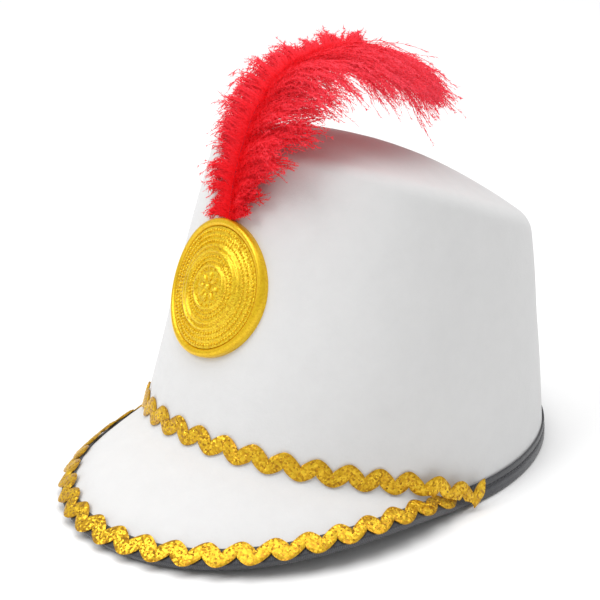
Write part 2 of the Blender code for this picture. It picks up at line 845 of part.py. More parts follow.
def main():
    """Builds the hat."""
    for obj in list(bpy.data.objects):
        bpy.data.objects.remove(obj)
    white_felt = material("white_felt", (0.86, 0.86, 0.87), 0.95, 0)
    black_tape = material("black_tape", (0.015, 0.016, 0.02), 0.45, 0)
    gold_braid = material("gold_braid", (0.75, 0.50, 0.03), 0.4, 0.3)
    gold_plastic = material("gold_plastic", (0.85, 0.62, 0.04), 0.3, 0.4)
    red_feather = material("red_feather", (0.75, 0.005, 0.02), 0.8, 0)
    crown_and_peak(white_felt)
    edge_binding(black_tape)
    crown_braid(gold_braid)
    peak_braid(gold_braid)
    medallion(gold_plastic)
    plume(red_feather)


main()
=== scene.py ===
"""The looks of a costume shako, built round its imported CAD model.

White moulded felt, a black bound edge, gold ric-rac braid, a gold medallion and a red ostrich plume.
Metres, +Z up, front towards -Y, the hat resting on z = 0."""

import logging
import math
from dataclasses import dataclass, field
from enum import Enum
from typing import Callable

import bpy
import numpy as np
from mathutils import Matrix, Vector

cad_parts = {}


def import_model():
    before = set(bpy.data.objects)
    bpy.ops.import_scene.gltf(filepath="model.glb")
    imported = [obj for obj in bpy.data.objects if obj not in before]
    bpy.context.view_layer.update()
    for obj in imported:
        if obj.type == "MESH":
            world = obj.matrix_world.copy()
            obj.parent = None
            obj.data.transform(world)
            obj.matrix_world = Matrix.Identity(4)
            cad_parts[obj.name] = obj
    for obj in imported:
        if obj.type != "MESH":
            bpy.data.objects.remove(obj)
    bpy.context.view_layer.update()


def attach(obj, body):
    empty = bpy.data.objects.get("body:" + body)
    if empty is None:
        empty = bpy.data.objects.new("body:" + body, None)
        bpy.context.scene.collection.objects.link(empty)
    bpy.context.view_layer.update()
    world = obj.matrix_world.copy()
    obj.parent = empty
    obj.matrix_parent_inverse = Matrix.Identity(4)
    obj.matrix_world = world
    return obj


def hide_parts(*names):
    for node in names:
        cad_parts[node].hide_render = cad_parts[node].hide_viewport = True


LOG = logging.getLogger("shako")

MM = 0.001
TINY = 1e-9
SEAM = 0.005 * MM
BODY = "root"


class Slot(Enum):
    """The record's material slots."""

    FELT = "white_felt"
    TAPE = "black_tape"
    BRAID = "gold_braid"
    GOLD = "gold_plastic"
    FEATHER = "red_feather"


def linear(hex_colour: str) -> tuple[float, float, float, float]:
    """Turns an sRGB hex value to a linear colour.

    Args:
        hex_colour: six hex digits after a hash sign.

    Returns:
        Red, green, blue and alpha for a node's socket.
    """
    channels = [int(hex_colour[k:k + 2], 16) / 255 for k in (1, 3, 5)]
    red, green, blue = (c / 12.92 if c <= 0.04045 else ((c + 0.055) / 1.055) ** 2.4 for c in channels)
    return red, green, blue, 1.0


def set_inputs(tree: bpy.types.NodeTree, node: bpy.types.Node, inputs: dict) -> None:
    """Sets or links a node's inputs.

    Args:
        tree: the material's node tree.
        node: the node.
        inputs: a value or an output socket for each named or numbered input.
    """
    for key, value in inputs.items():
        if isinstance(value, bpy.types.NodeSocket):
            tree.links.new(value, node.inputs[key])
        else:
            node.inputs[key].default_value = value


def add_node(tree: bpy.types.NodeTree, kind: str, inputs: dict | None = None, **settings) -> bpy.types.Node:
    """Adds a node with its settings and links.

    Args:
        tree: the material's node tree.
        kind: the node's type name.
        inputs: a value or an output socket for each named or numbered input.
        settings: the node's own properties.

    Returns:
        The new node.
    """
    node = tree.nodes.new(kind)
    for key, value in settings.items():
        setattr(node, key, value)
    set_inputs(tree, node, inputs or {})
    return node


def new_finish(name: str) -> tuple[bpy.types.Material, bpy.types.NodeTree, bpy.types.Node]:
    """Starts a material.

    Args:
        name: the finish's name.

    Returns:
        The material, its node tree and its Principled shader.
    """
    material = bpy.data.materials.new(name)
    material.use_nodes = True
    tree = material.node_tree
    return material, tree, tree.nodes["Principled BSDF"]


@dataclass(frozen=True)
class MouldedFelt:
    """Polyester felt, steamed over a block: matt and white, with a faint cloudiness and short fibres."""

    name: str = "moulded_felt"
    white: str = "#DCDCDC"
    shade: str = "#D4D4D4"
    cloud_mm: float = 9.0
    dimple_mm: float = 2.6
    dimple_depth_mm: float = 0.25
    fibre_mm: float = 0.7
    fibre_depth_mm: float = 0.12
    bump: float = 0.5
    roughness: float = 0.95
    specular: float = 0.2
    sheen: float = 0.25
    sheen_roughness: float = 0.6

    def material(self) -> bpy.types.Material:
        """The felt's material, on Object coordinates."""
        material, tree, shader = new_finish(self.name)
        place = add_node(tree, "ShaderNodeTexCoord").outputs["Object"]
        cloud = add_node(tree, "ShaderNodeTexNoise", {
            "Vector": place, "Scale": 1 / (self.cloud_mm * MM), "Detail": 4.0, "Roughness": 0.6,
        })
        tint = add_node(tree, "ShaderNodeMix", {
            "Factor": cloud.outputs["Fac"], "A": linear(self.shade), "B": linear(self.white),
        }, data_type="RGBA")
        dimple = add_node(tree, "ShaderNodeTexNoise", {
            "Vector": place, "Scale": 1 / (self.dimple_mm * MM), "Detail": 3.0,
        })
        fibre = add_node(tree, "ShaderNodeTexNoise", {
            "Vector": place, "Scale": 1 / (self.fibre_mm * MM), "Detail": 5.0, "Distortion": 1.2,
        })
        low = add_node(tree, "ShaderNodeBump", {
            "Height": dimple.outputs["Fac"], "Strength": self.bump, "Distance": self.dimple_depth_mm * MM,
        })
        high = add_node(tree, "ShaderNodeBump", {
            "Height": fibre.outputs["Fac"], "Strength": self.bump, "Distance": self.fibre_depth_mm * MM,
            "Normal": low.outputs["Normal"],
        })
        set_inputs(tree, shader, {
            "Base Color": tint.outputs["Result"],
            "Normal": high.outputs["Normal"],
            "Roughness": self.roughness,
            "Specular IOR Level": self.specular,
            "Sheen Weight": self.sheen,
            "Sheen Roughness": self.sheen_roughness,
        })
        return material


@dataclass(frozen=True)
class GrosgrainTape:
    """Black polyester binding: fine ribs square to its edge and a soft shine on each."""

    name: str = "grosgrain_tape"
    black: str = "#1B1C21"
    worn: str = "#34363D"
    rib_mm: float = 0.9
    fuzz_mm: float = 1.4
    bump: float = 0.6
    bump_depth_mm: float = 0.15
    roughness: float = 0.5
    sheen: float = 0.3

    def material(self) -> bpy.types.Material:
        """The tape's material, on a UV map in metres: along the tape, then across it."""
        material, tree, shader = new_finish(self.name)
        coordinates = add_node(tree, "ShaderNodeTexCoord")
        split = add_node(tree, "ShaderNodeSeparateXYZ", {"Vector": coordinates.outputs["UV"]})
        turn = add_node(tree, "ShaderNodeMath", {
            0: split.outputs["X"], 1: math.pi / (self.rib_mm * MM),
        }, operation="MULTIPLY")
        wave = add_node(tree, "ShaderNodeMath", {0: turn.outputs[0]}, operation="SINE")
        rib = add_node(tree, "ShaderNodeMath", {0: wave.outputs[0]}, operation="ABSOLUTE")
        fuzz = add_node(tree, "ShaderNodeTexNoise", {
            "Vector": coordinates.outputs["Object"], "Scale": 1 / (self.fuzz_mm * MM), "Detail": 4.0,
        })
        height = add_node(tree, "ShaderNodeMath", {
            0: rib.outputs[0], 1: fuzz.outputs["Fac"],
        }, operation="ADD")
        tint = add_node(tree, "ShaderNodeMix", {
            "Factor": fuzz.outputs["Fac"], "A": linear(self.black), "B": linear(self.worn),
        }, data_type="RGBA")
        bump = add_node(tree, "ShaderNodeBump", {
            "Height": height.outputs[0], "Strength": self.bump, "Distance": self.bump_depth_mm * MM,
        })
        set_inputs(tree, shader, {
            "Base Color": tint.outputs["Result"],
            "Normal": bump.outputs["Normal"],
            "Roughness": self.roughness,
            "Sheen Weight": self.sheen,
        })
        return material


@dataclass(frozen=True)
class Glitter:
    """Gold flakes: each flake turns its own way and has its own shade, so that some catch the light.

    A real flake is about 0.2 mm across. These are drawn as coarse as they need to show."""

    name: str
    bright: str
    middle: str
    dark: str
    flake_mm: float
    turn: float
    metallic: float
    roughness: float
    painted_edge_shade: float = 0.0
    edge_start: float = 0.55
    middle_share: float = 0.35

    def material(self) -> bpy.types.Material:
        """The glitter's material: flakes on Object coordinates, painted shade towards the edges on the UV
        map's V.
        """
        material, tree, shader = new_finish(self.name)
        coordinates = add_node(tree, "ShaderNodeTexCoord")
        flakes = add_node(tree, "ShaderNodeTexVoronoi", {
            "Vector": coordinates.outputs["Object"], "Scale": 1 / (self.flake_mm * MM),
        })
        split = add_node(tree, "ShaderNodeSeparateColor", {"Color": flakes.outputs["Color"]})
        tint = add_node(tree, "ShaderNodeValToRGB", {"Fac": split.outputs["Red"]})
        ramp = tint.color_ramp
        ramp.elements[0].color = linear(self.dark)
        ramp.elements[1].color = linear(self.bright)
        middle = ramp.elements.new(self.middle_share)
        middle.color = linear(self.middle)
        colour = tint.outputs["Color"]
        # Painted shade: the colour darkens towards the braid's edges, where they turn down to the felt.
        if self.painted_edge_shade > 0:
            across = add_node(tree, "ShaderNodeSeparateXYZ", {"Vector": coordinates.outputs["UV"]})
            far = add_node(tree, "ShaderNodeMapRange", {
                "Value": across.outputs["Y"], "From Min": self.edge_start, "To Max": self.painted_edge_shade,
            })
            shaded = add_node(tree, "ShaderNodeMix", {
                "Factor": far.outputs["Result"], "A": colour, "B": linear(self.dark),
            }, data_type="RGBA")
            colour = shaded.outputs["Result"]
        spread = add_node(tree, "ShaderNodeVectorMath", {
            0: flakes.outputs["Color"], 1: (0.5, 0.5, 0.5),
        }, operation="SUBTRACT")
        lean = add_node(tree, "ShaderNodeVectorMath", {
            0: spread.outputs[0], "Scale": self.turn,
        }, operation="SCALE")
        face = add_node(tree, "ShaderNodeNewGeometry")
        facing = add_node(tree, "ShaderNodeVectorMath", {
            0: face.outputs["Normal"], 1: lean.outputs[0],
        }, operation="ADD")
        turned = add_node(tree, "ShaderNodeVectorMath", {0: facing.outputs[0]}, operation="NORMALIZE")
        set_inputs(tree, shader, {
            "Base Color": colour,
            "Normal": turned.outputs[0],
            "Metallic": self.metallic,
            "Roughness": self.roughness,
        })
        return material


@dataclass(frozen=True)
class OstrichDown:
    """Dyed ostrich: deep red where it is thick, and pinker where the light comes through its ends.

    Its glow is the light that passes through barbs finer than the ones drawn."""

    name: str = "ostrich_down"
    deep: str = "#EE000A"
    light: str = "#FF5A6C"
    tone: str = "tone"
    glow: float = 0.05
    roughness: float = 0.7
    specular: float = 0.12
    sheen: float = 0.05
    sheen_roughness: float = 0.5
    sheen_tint: str = "#FF8090"

    def material(self) -> bpy.types.Material:
        """The feather's material, shaded from root to end by the mesh's tone attribute."""
        material, tree, shader = new_finish(self.name)
        # Painted light and shade: the tone attribute makes the feather deep red at its roots and pinker
        # towards its ends.
        tone = add_node(tree, "ShaderNodeAttribute", attribute_name=self.tone)
        tint = add_node(tree, "ShaderNodeMix", {
            "Factor": tone.outputs["Fac"], "A": linear(self.deep), "B": linear(self.light),
        }, data_type="RGBA")
        set_inputs(tree, shader, {
            "Base Color": tint.outputs["Result"],
            # Painted glow: the feather gives off light in its own colour, for the light that passes through
            # its barbs.
            "Emission Color": tint.outputs["Result"],
            "Emission Strength": self.glow,
            "Roughness": self.roughness,
            "Specular IOR Level": self.specular,
            "Sheen Weight": self.sheen,
            "Sheen Roughness": self.sheen_roughness,
            "Sheen Tint": linear(self.sheen_tint),
        })
        return material


def deselect() -> None:
    """Deselects every object."""
    bpy.ops.object.select_all(action="DESELECT")


def select(*objects: bpy.types.Object) -> None:
    """Selects only these objects and makes the first active."""
    deselect()
    for obj in objects:
        obj.select_set(True)
    bpy.context.view_layer.objects.active = objects[0]


def coordinates_of(obj: bpy.types.Object) -> np.ndarray:
    """A mesh's vertices as an array of points."""
    flat = np.zeros(len(obj.data.vertices) * 3, np.float32)
    obj.data.vertices.foreach_get("co", flat)
    return flat.reshape(-1, 3).astype(float)


def move_vertices(obj: bpy.types.Object, points: np.ndarray) -> None:
    """Puts a mesh's vertices at these points."""
    obj.data.vertices.foreach_set("co", points.astype(np.float32).ravel())
    obj.data.update()


def apply_modifier(obj: bpy.types.Object, kind: str, **settings) -> None:
    """Adds a modifier with its settings and applies it.

    Args:
        obj: the piece.
        kind: the modifier's type name.
        settings: the modifier's properties.
    """
    select(obj)
    modifier = obj.modifiers.new(kind.lower(), kind)
    for key, value in settings.items():
        setattr(modifier, key, value)
    bpy.ops.object.modifier_apply(modifier=modifier.name)


def start_edit(obj: bpy.types.Object) -> None:
    """Enters edit mode with all of one object's mesh selected."""
    select(obj)
    bpy.ops.object.mode_set(mode="EDIT")
    bpy.ops.mesh.select_all(action="SELECT")


def weld(obj: bpy.types.Object) -> None:
    """Merges vertices that meet, such as those along a seam or at a pole."""
    start_edit(obj)
    bpy.ops.mesh.remove_doubles(threshold=SEAM)
    bpy.ops.object.mode_set(mode="OBJECT")


def take_template() -> tuple[np.ndarray, list[tuple[int, ...]]]:
    """Takes the shape of the primitive that was just made, which is copied many times, and removes it.

    Returns:
        Its points and its faces.
    """
    template = bpy.context.active_object
    points = coordinates_of(template)
    faces = [tuple(polygon.vertices) for polygon in template.data.polygons]
    bpy.data.objects.remove(template)
    return points, faces


def added_up(steps: np.ndarray) -> np.ndarray:
    """The sum of the steps before each point, from nought."""
    return np.concatenate([[0.0], np.cumsum(steps)])


def step_lengths(line: np.ndarray) -> np.ndarray:
    """Distances between a line's neighbouring points."""
    return np.linalg.norm(np.diff(line, axis=0), axis=1)


def set_uv(obj: bpy.types.Object, along: np.ndarray, across: np.ndarray) -> None:
    """Writes a UV map from one pair of values a vertex.

    Args:
        obj: the piece.
        along: U of each vertex.
        across: V of each vertex.
    """
    mesh = obj.data
    layer = mesh.uv_layers.active or mesh.uv_layers.new(name="UVMap")
    corners = np.zeros(len(mesh.loops), np.int32)
    mesh.loops.foreach_get("vertex_index", corners)
    pairs = np.stack([along[corners], across[corners]], -1)
    layer.data.foreach_set("uv", pairs.astype(np.float32).ravel())


def wrapped_grid(name: str, points: np.ndarray) -> bpy.types.Object:
    """Lays a grid primitive over a sheet of points.

    Args:
        name: the new object's name.
        points: rows by columns by three, with rows times the columns' direction facing out.

    Returns:
        The grid's object, its UV map in metres along the columns and the rows.
    """
    rows, columns = points.shape[0] - 1, points.shape[1] - 1
    deselect()
    bpy.ops.mesh.primitive_grid_add(x_subdivisions=columns, y_subdivisions=rows, size=1, calc_uvs=True)
    grid = bpy.context.active_object
    grid.name = grid.data.name = name
    flat = coordinates_of(grid)
    column = np.rint((flat[:, 0] + 0.5) * columns).astype(int)
    row = np.rint((flat[:, 1] + 0.5) * rows).astype(int)
    move_vertices(grid, points[row, column])
    along = np.linalg.norm(np.diff(points, axis=1), axis=2).max(axis=0)
    across = np.linalg.norm(np.diff(points, axis=0), axis=2).mean(axis=1)
    set_uv(grid, added_up(along)[column], added_up(across)[row])
    return grid


def mesh_of_copies(name: str, points: np.ndarray, faces: list[tuple[int, ...]]) -> bpy.types.Object:
    """Makes an object of many copies of one small shape.

    Args:
        name: the new object's name.
        points: copies by points by three, already put in place.
        faces: one copy's faces.

    Returns:
        The object.
    """
    copies, corners = points.shape[0], points.shape[1]
    every = [tuple(v + k * corners for v in face) for k in range(copies) for face in faces]
    mesh = bpy.data.meshes.new(name)
    mesh.from_pydata(points.reshape(-1, 3).tolist(), [], every)
    mesh.update()
    obj = bpy.data.objects.new(name, mesh)
    bpy.context.scene.collection.objects.link(obj)
    return obj


def finish_piece(
    obj: bpy.types.Object, material: bpy.types.Material, slot: Slot, *nodes: str, sharp: float | None = None
) -> bpy.types.Object:
    """Dresses a finished piece, shades it smooth and ties it to the frame.

    Args:
        obj: the piece.
        material: its finish.
        slot: the record's slot for its finish; not used.
        nodes: the CAD nodes that it stands for.
        sharp: the angle in degrees past which an edge stays sharp.

    Returns:
        The piece.
    """
    select(obj)
    if sharp is None:
        bpy.ops.object.shade_smooth()
    else:
        bpy.ops.object.shade_smooth_by_angle(angle=math.radians(sharp))
    obj.data.materials.clear()
    obj.data.materials.append(material)
    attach(obj, BODY)
    if nodes:
        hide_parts(*nodes)
    LOG.info("%s: %d faces", obj.name, len(obj.data.polygons))
    return obj


def mix(low: np.ndarray | float, high: np.ndarray | float, share: np.ndarray | float) -> np.ndarray:
    """The value a share of the way from low to high."""
    return low + (high - low) * share


def smooth(share: np.ndarray | float) -> np.ndarray:
    """A share from 0 to 1, eased at both ends."""
    share = np.clip(share, 0.0, 1.0)
    return share * share * (3 - 2 * share)


def unit(vectors: np.ndarray) -> np.ndarray:
    """Vectors scaled to length one."""
    return vectors / np.maximum(np.linalg.norm(vectors, axis=-1, keepdims=True), TINY)


def lifted(share: np.ndarray) -> np.ndarray:
    """A value a point, shaped to multiply points."""
    return np.asarray(share)[..., None]


@dataclass
class HatForm:
    """The hat's outer surface, worked out as the CAD works it out.

    An angle is measured from the front, and a run is a distance up the felt from its edge."""

    head_length: float = 0.206
    head_width: float = 0.163
    top_length: float = 0.129
    top_width: float = 0.1295
    top_setback: float = 0.0177
    crown_height: float = 0.127
    top_slope: float = math.radians(22.4)
    top_squareness: float = 2.5
    shoulder_radius: float = 0.0107
    top_dome: float = 0.0115
    clear_start: float = 0.93
    clear_fall: float = 0.25
    felt: float = 0.002
    peak_spread: float = math.radians(84)
    peak_reach: float = 0.0365
    peak_droop: float = math.radians(10)
    crease_height: float = 0.028
    crease_soft: float = 0.004
    crease_fall: float = 0.85
    rim_fall_left: float = 1.15
    rim_fall_right: float = 1.85
    rim_lift_left: float = 0.0067
    rim_lift_right: float = 0.001
    lift_place: float = 1.8
    hem_rise: float = 0.0027
    hem_ease: float = 0.6
    centring: float = 0.0003
    tape: float = 0.0007
    gap: float = 0.0003
    fold_gap: float = 0.0006
    step_angle: float = 0.02
    step_run: float = 0.001

    def __post_init__(self) -> None:
        """Works out the sizes that follow from the others."""
        self.stand = self.gap + self.tape
        self.hem_stand = self.stand + self.felt * 0.4
        self.centre_y = self.peak_reach / 2 + self.centring
        self.rim_stand = self.work_out_rim_stand()

    def oval(self, angle: np.ndarray, exponent: np.ndarray | float) -> tuple[np.ndarray, np.ndarray]:
        """Side and front shares of an oval's half sizes."""
        side, front = np.sin(angle), np.cos(angle)
        return (
            np.sign(side) * np.abs(side) ** (2 / exponent),
            np.sign(front) * np.abs(front) ** (2 / exponent),
        )

    def top_plane(self, y: np.ndarray) -> np.ndarray:
        """Height of the sloping plane through the top's edge."""
        return self.crown_height - math.tan(self.top_slope) * (y - self.centre_y - self.top_setback)

    def top_ring(self, angle: np.ndarray, inset: np.ndarray | float, scale: np.ndarray | float) -> np.ndarray:
        """The top's outline, moved in by inset and then scaled about its centre.

        Args:
            angle: angles from the front.
            inset: distance inwards.
            scale: share of the full size.

        Returns:
            Points on the sloping plane.
        """
        side, front = self.oval(angle, self.top_squareness)
        x = (self.top_width / 2 - inset) * side * scale
        y = self.centre_y + self.top_setback - (self.top_length / 2 - inset) * front * scale
        return np.stack([x, y, self.top_plane(y)], -1)

    def wall_top(self, angle: np.ndarray) -> np.ndarray:
        """Height at which the wall turns into the shoulder."""
        return self.top_ring(angle, 0.0, 1.0)[..., 2] - self.shoulder_radius

    def wall_point(self, angle: np.ndarray, height: np.ndarray | float) -> np.ndarray:
        """The wall's outer face at a height above the resting surface.

        Args:
            angle: angles from the front.
            height: heights in metres.

        Returns:
            Points.
        """
        share = height / self.wall_top(angle)
        side, front = self.oval(angle, mix(2.0, self.top_squareness, share))
        x = mix(self.head_width, self.top_width, share) / 2 * side
        half = mix(self.head_length, self.top_length, share) / 2
        y = self.centre_y + self.top_setback * share - half * front
        return np.stack([x, y, np.broadcast_to(height, np.shape(x))], -1)

    def wall_lean(self, angle: np.ndarray) -> np.ndarray:
        """How far the wall leans in from upright."""
        foot, top = self.wall_point(angle, 0.0), self.wall_point(angle, self.wall_top(angle))
        return np.arctan2(np.linalg.norm((foot - top)[..., :2], axis=-1), top[..., 2])

    def dome_turn(self) -> float:
        """The angle at which the shoulder's arc meets the dome."""
        return math.pi / 2 - math.atan2(2 * self.top_dome, (self.top_length + self.top_width) / 4)

    def shoulder_point(self, angle: np.ndarray, share: np.ndarray | float) -> np.ndarray:
        """The rounded edge of the top, from the wall at 0 to the dome at 1.

        Args:
            angle: angles from the front.
            share: share of the arc.

        Returns:
            Points.
        """
        lean = self.wall_lean(angle)
        turn = mix(lean, self.dome_turn(), share)
        point = self.top_ring(angle, self.shoulder_radius * (np.cos(lean) - np.cos(turn)), 1.0)
        point[..., 2] -= self.shoulder_radius * (1 - np.sin(turn) + np.sin(lean))
        return point

    def dome_point(self, angle: np.ndarray, scale: np.ndarray | float) -> np.ndarray:
        """The domed top, from its edge at 1 to its centre at 0.

        Args:
            angle: angles from the front.
            scale: share of the way out.

        Returns:
            Points.
        """
        lean, turn = self.wall_lean(angle), self.dome_turn()
        inset = self.shoulder_radius * (np.cos(lean) - np.cos(turn)) * scale
        point = self.top_ring(angle, inset, scale)
        point[..., 2] -= self.shoulder_radius * (1 - np.sin(turn) + np.sin(lean) * scale**2)
        point[..., 2] += self.top_dome * (1 - scale**2)
        return point

    def peak_share(self, angle: np.ndarray) -> np.ndarray:
        """0 at the front and 1 where the peak runs out at the temple."""
        return np.minimum(1.0, np.abs(angle) / self.peak_spread)

    def peak_fullness(self, angle: np.ndarray) -> np.ndarray:
        """1 at the front and 0 at the temple."""
        return np.maximum(0.0, np.cos(math.pi / 2 * self.peak_share(angle)))

    def hem_height(self, angle: np.ndarray) -> np.ndarray:
        """Height of the felt's edge where there is no peak."""
        return self.hem_stand + self.hem_rise * smooth((np.cos(angle) + self.hem_ease) / (1 + self.hem_ease))

    def crease_point(self, angle: np.ndarray) -> np.ndarray:
        """Where the wall turns into the peak."""
        hem = self.hem_height(angle)
        rise = (self.crease_height - hem) * self.peak_fullness(angle) ** self.crease_fall
        return self.wall_point(angle, hem + rise)

    def work_out_rim_stand(self) -> float:
        """Height of the felt's edge at the front, with the binding's lowest corner on z = 0.

        Returns:
            The height in metres.
        """
        stand, front = self.hem_stand, np.zeros(1)
        foot = self.wall_point(front, self.crease_height)[0]
        hem = self.wall_point(front, 0.0)[0]
        for _ in range(6):
            run = self.peak_reach - hem[1] + foot[1]
            slope = math.atan2(self.crease_height - stand, run) + self.peak_droop
            stand = (self.felt + self.fold_gap + self.tape) * math.cos(slope) + self.stand * math.sin(slope)
        return stand

    def rim_point(self, angle: np.ndarray) -> np.ndarray:
        """The felt's edge: the peak's rim at the front, the hem behind the temples.

        Args:
            angle: angles from the front.

        Returns:
            Points.
        """
        hem = self.wall_point(angle, self.hem_height(angle))
        full, share = self.peak_fullness(angle), self.peak_share(angle)
        flat = np.zeros_like(angle)
        out = unit(np.stack([np.sin(angle) / self.head_width, -np.cos(angle) / self.head_length, flat], -1))
        fall = np.where(angle > 0, self.rim_fall_left, self.rim_fall_right)
        lift = np.where(angle > 0, self.rim_lift_left, self.rim_lift_right)
        point = hem + out * lifted(self.peak_reach * full**fall)
        point[..., 2] = mix(self.rim_stand, hem[..., 2], share**2)
        point[..., 2] += lift * np.sin(math.pi * share**self.lift_place)
        return np.where(lifted(full > 0), point, hem)

    def peak_point(self, angle: np.ndarray, share: np.ndarray | float) -> np.ndarray:
        """The peak's upper face, from its rim at 0 to the crease at 1.

        Args:
            angle: angles from the front.
            share: share of the way in from the rim.

        Returns:
            Points on a curve that is tangent to the droop at both ends.
        """
        rim, crease = self.rim_point(angle), self.crease_point(angle)
        chord = rim - crease
        length = np.linalg.norm(chord, axis=-1)
        level = np.linalg.norm(chord[..., :2], axis=-1)
        out = unit(chord * np.array([1.0, 1.0, 0.0]))
        slope = np.arctan2(-chord[..., 2], level)
        droop = self.peak_droop * (1 - self.peak_share(angle))
        start = self.sloping(out, slope - droop, length)
        end = self.sloping(out, slope + droop, length)
        t = lifted(np.broadcast_to(1 - np.asarray(share), np.shape(angle)))
        curve = (
            crease * (2 * t**3 - 3 * t**2 + 1)
            + start * (t**3 - 2 * t**2 + t)
            + rim * (3 * t**2 - 2 * t**3)
            + end * (t**3 - t**2)
        )
        return np.where(lifted(length < self.step_run / 100), crease, curve)

    def sloping(self, out: np.ndarray, slope: np.ndarray, length: np.ndarray) -> np.ndarray:
        """Vectors of a length that run outwards and fall at a slope."""
        fall = np.stack([np.zeros_like(slope), np.zeros_like(slope), np.sin(slope)], -1)
        return (out * lifted(np.cos(slope)) - fall) * lifted(length)

    def peak_run(self, angle: np.ndarray) -> np.ndarray:
        """Length of the peak's profile, nought behind the temples."""
        return np.linalg.norm(self.rim_point(angle) - self.crease_point(angle), axis=-1)

    def wall_run(self, angle: np.ndarray) -> np.ndarray:
        """Length of the wall's profile, from the crease to the shoulder."""
        top = self.wall_point(angle, self.wall_top(angle))
        return np.linalg.norm(top - self.crease_point(angle), axis=-1)

    def above_crease(self, angle: np.ndarray, run: np.ndarray) -> np.ndarray:
        """The wall's outer face at a distance above the crease."""
        crease = self.crease_point(angle)
        height = mix(crease[..., 2], self.wall_top(angle), run / self.wall_run(angle))
        return self.wall_point(angle, height)

    def skin_point(self, angle: np.ndarray, run: np.ndarray | float) -> np.ndarray:
        """The felt's outer face; a negative run is past the edge.

        Args:
            angle: angles from the front.
            run: runs up the felt from its edge.

        Returns:
            Points.
        """
        angle, run = np.broadcast_arrays(np.asarray(angle, float), np.asarray(run, float))
        if np.any(run < 0):
            inside = self.skin_point(angle, np.maximum(run, 0.0))
            edge = self.skin_point(angle, np.zeros_like(run))
            above = self.skin_point(angle, np.full_like(run, self.step_run))
            past = edge + unit(edge - above) * lifted(-run)
            return np.where(lifted(run < 0), past, inside)
        width = self.peak_run(angle)
        soft = np.minimum(self.crease_soft, width / 3)
        safe = np.maximum(width, TINY)
        low = self.peak_point(angle, np.clip(run / safe, 0, 1))
        high = self.above_crease(angle, run - width)
        t = lifted(np.clip((run - width + soft) / np.maximum(2 * soft, TINY), 0, 1))
        start, end = self.peak_point(angle, 1 - soft / safe), self.above_crease(angle, soft)
        bend = start * (1 - t) ** 2 + self.crease_point(angle) * (2 * t * (1 - t)) + end * t**2
        on_peak = lifted((run <= width - soft) & (width > TINY))
        return np.where(on_peak, low, np.where(lifted(run >= width + soft), high, bend))

    def skin_normal(self, angle: np.ndarray, run: np.ndarray | float) -> np.ndarray:
        """The felt's outward normal.

        Args:
            angle: angles from the front.
            run: runs up the felt from its edge.

        Returns:
            Unit vectors.
        """
        angle, run = np.broadcast_arrays(np.asarray(angle, float), np.asarray(run, float))
        turn, step = self.step_angle, self.step_run
        around = self.skin_point(angle + turn, run) - self.skin_point(angle - turn, run)
        up = self.skin_point(angle, run + step) - self.skin_point(angle, run - step)
        return unit(np.cross(around, up))

    def skin(self, angle: np.ndarray, run: np.ndarray | float, lift: np.ndarray | float) -> np.ndarray:
        """Points raised above the felt's outer face, or below it with a negative lift.

        Args:
            angle: angles from the front.
            run: runs up the felt from its edge.
            lift: heights above the face.

        Returns:
            Points.
        """
        angle, run, lift = np.broadcast_arrays(*(np.asarray(v, float) for v in (angle, run, lift)))
        return self.skin_point(angle, run) + self.skin_normal(angle, run) * lifted(lift)

    def top_height(self, x: np.ndarray, y: np.ndarray) -> np.ndarray:
        """Height of the crown's top under a point, falling away past its edge.

        Args:
            x: places across.
            y: places from front to back.

        Returns:
            Heights in metres.
        """
        n = self.top_squareness
        across = np.abs(x / (self.top_width / 2)) ** n
        back = np.abs((y - self.centre_y - self.top_setback) / (self.top_length / 2)) ** n
        scale = (across + back) ** (1 / n)
        dome = self.top_dome * (1 - np.minimum(scale, 1) ** 2)
        return self.top_plane(y) + dome - self.clear_fall * np.maximum(scale - self.clear_start, 0)


@dataclass
class FeltBody:
    """The moulded crown and peak: one sheet of felt, drawn down over a block."""

    form: HatForm
    columns: int = 208
    run_rows: int = 72
    shoulder_rows: int = 9
    dome_rows: int = 14
    ripple: float = 0.00022
    broad_waves: tuple = (91, 37, 73, 52)
    fine_waves: tuple = (163, 141, 119)
    fine_share: float = 0.6
    even_height: float = 0.03
    middle_height: float = 0.05

    def sheet(self) -> np.ndarray:
        """The outer face as rows of points, from the edge to the top's centre.

        Returns:
            Rows by columns by three.
        """
        form = self.form
        angle = np.linspace(-math.pi, math.pi, self.columns + 1)[None, :]
        total = form.peak_run(angle) + form.wall_run(angle)
        share = np.linspace(0, 1, self.run_rows + 1)[:, None]
        walls = form.skin_point(*np.broadcast_arrays(angle, share * total))
        turn = np.linspace(0, 1, self.shoulder_rows + 1)[1:, None]
        edge = form.shoulder_point(*np.broadcast_arrays(angle, turn))
        scale = np.linspace(1, 0, self.dome_rows + 1)[1:, None]
        dome = form.dome_point(*np.broadcast_arrays(angle, scale))
        return np.concatenate([walls, edge, dome])

    def uneven(self, points: np.ndarray) -> np.ndarray:
        """Moves points by the slight unevenness that a hand-pulled form has.

        Args:
            points: points of the outer face.

        Returns:
            The points, moved in or out.
        """
        x, y, z = points[..., 0], points[..., 1], points[..., 2]
        a, b, c, d = self.broad_waves
        e, f, g = self.fine_waves
        wave = np.sin(x * a + z * b) * np.sin(y * c - z * d) + self.fine_share * np.sin(x * e - y * f + z * g)
        fade = smooth((z - self.even_height) / self.even_height)
        centre = np.array([0.0, self.form.centre_y, self.middle_height])
        return points + unit(points - centre) * lifted(wave * fade * self.ripple)

    def build(self, finish: MouldedFelt) -> bpy.types.Object:
        """Models the felt and dresses it.

        Args:
            finish: its felt.

        Returns:
            The felt.
        """
        body = wrapped_grid("felt_crown_and_peak", self.uneven(self.sheet()))
        weld(body)
        apply_modifier(body, "SOLIDIFY", thickness=self.form.felt, offset=-1.0, use_even_offset=True)
        return finish_piece(body, finish.material(), Slot.FELT, "crown_and_peak")


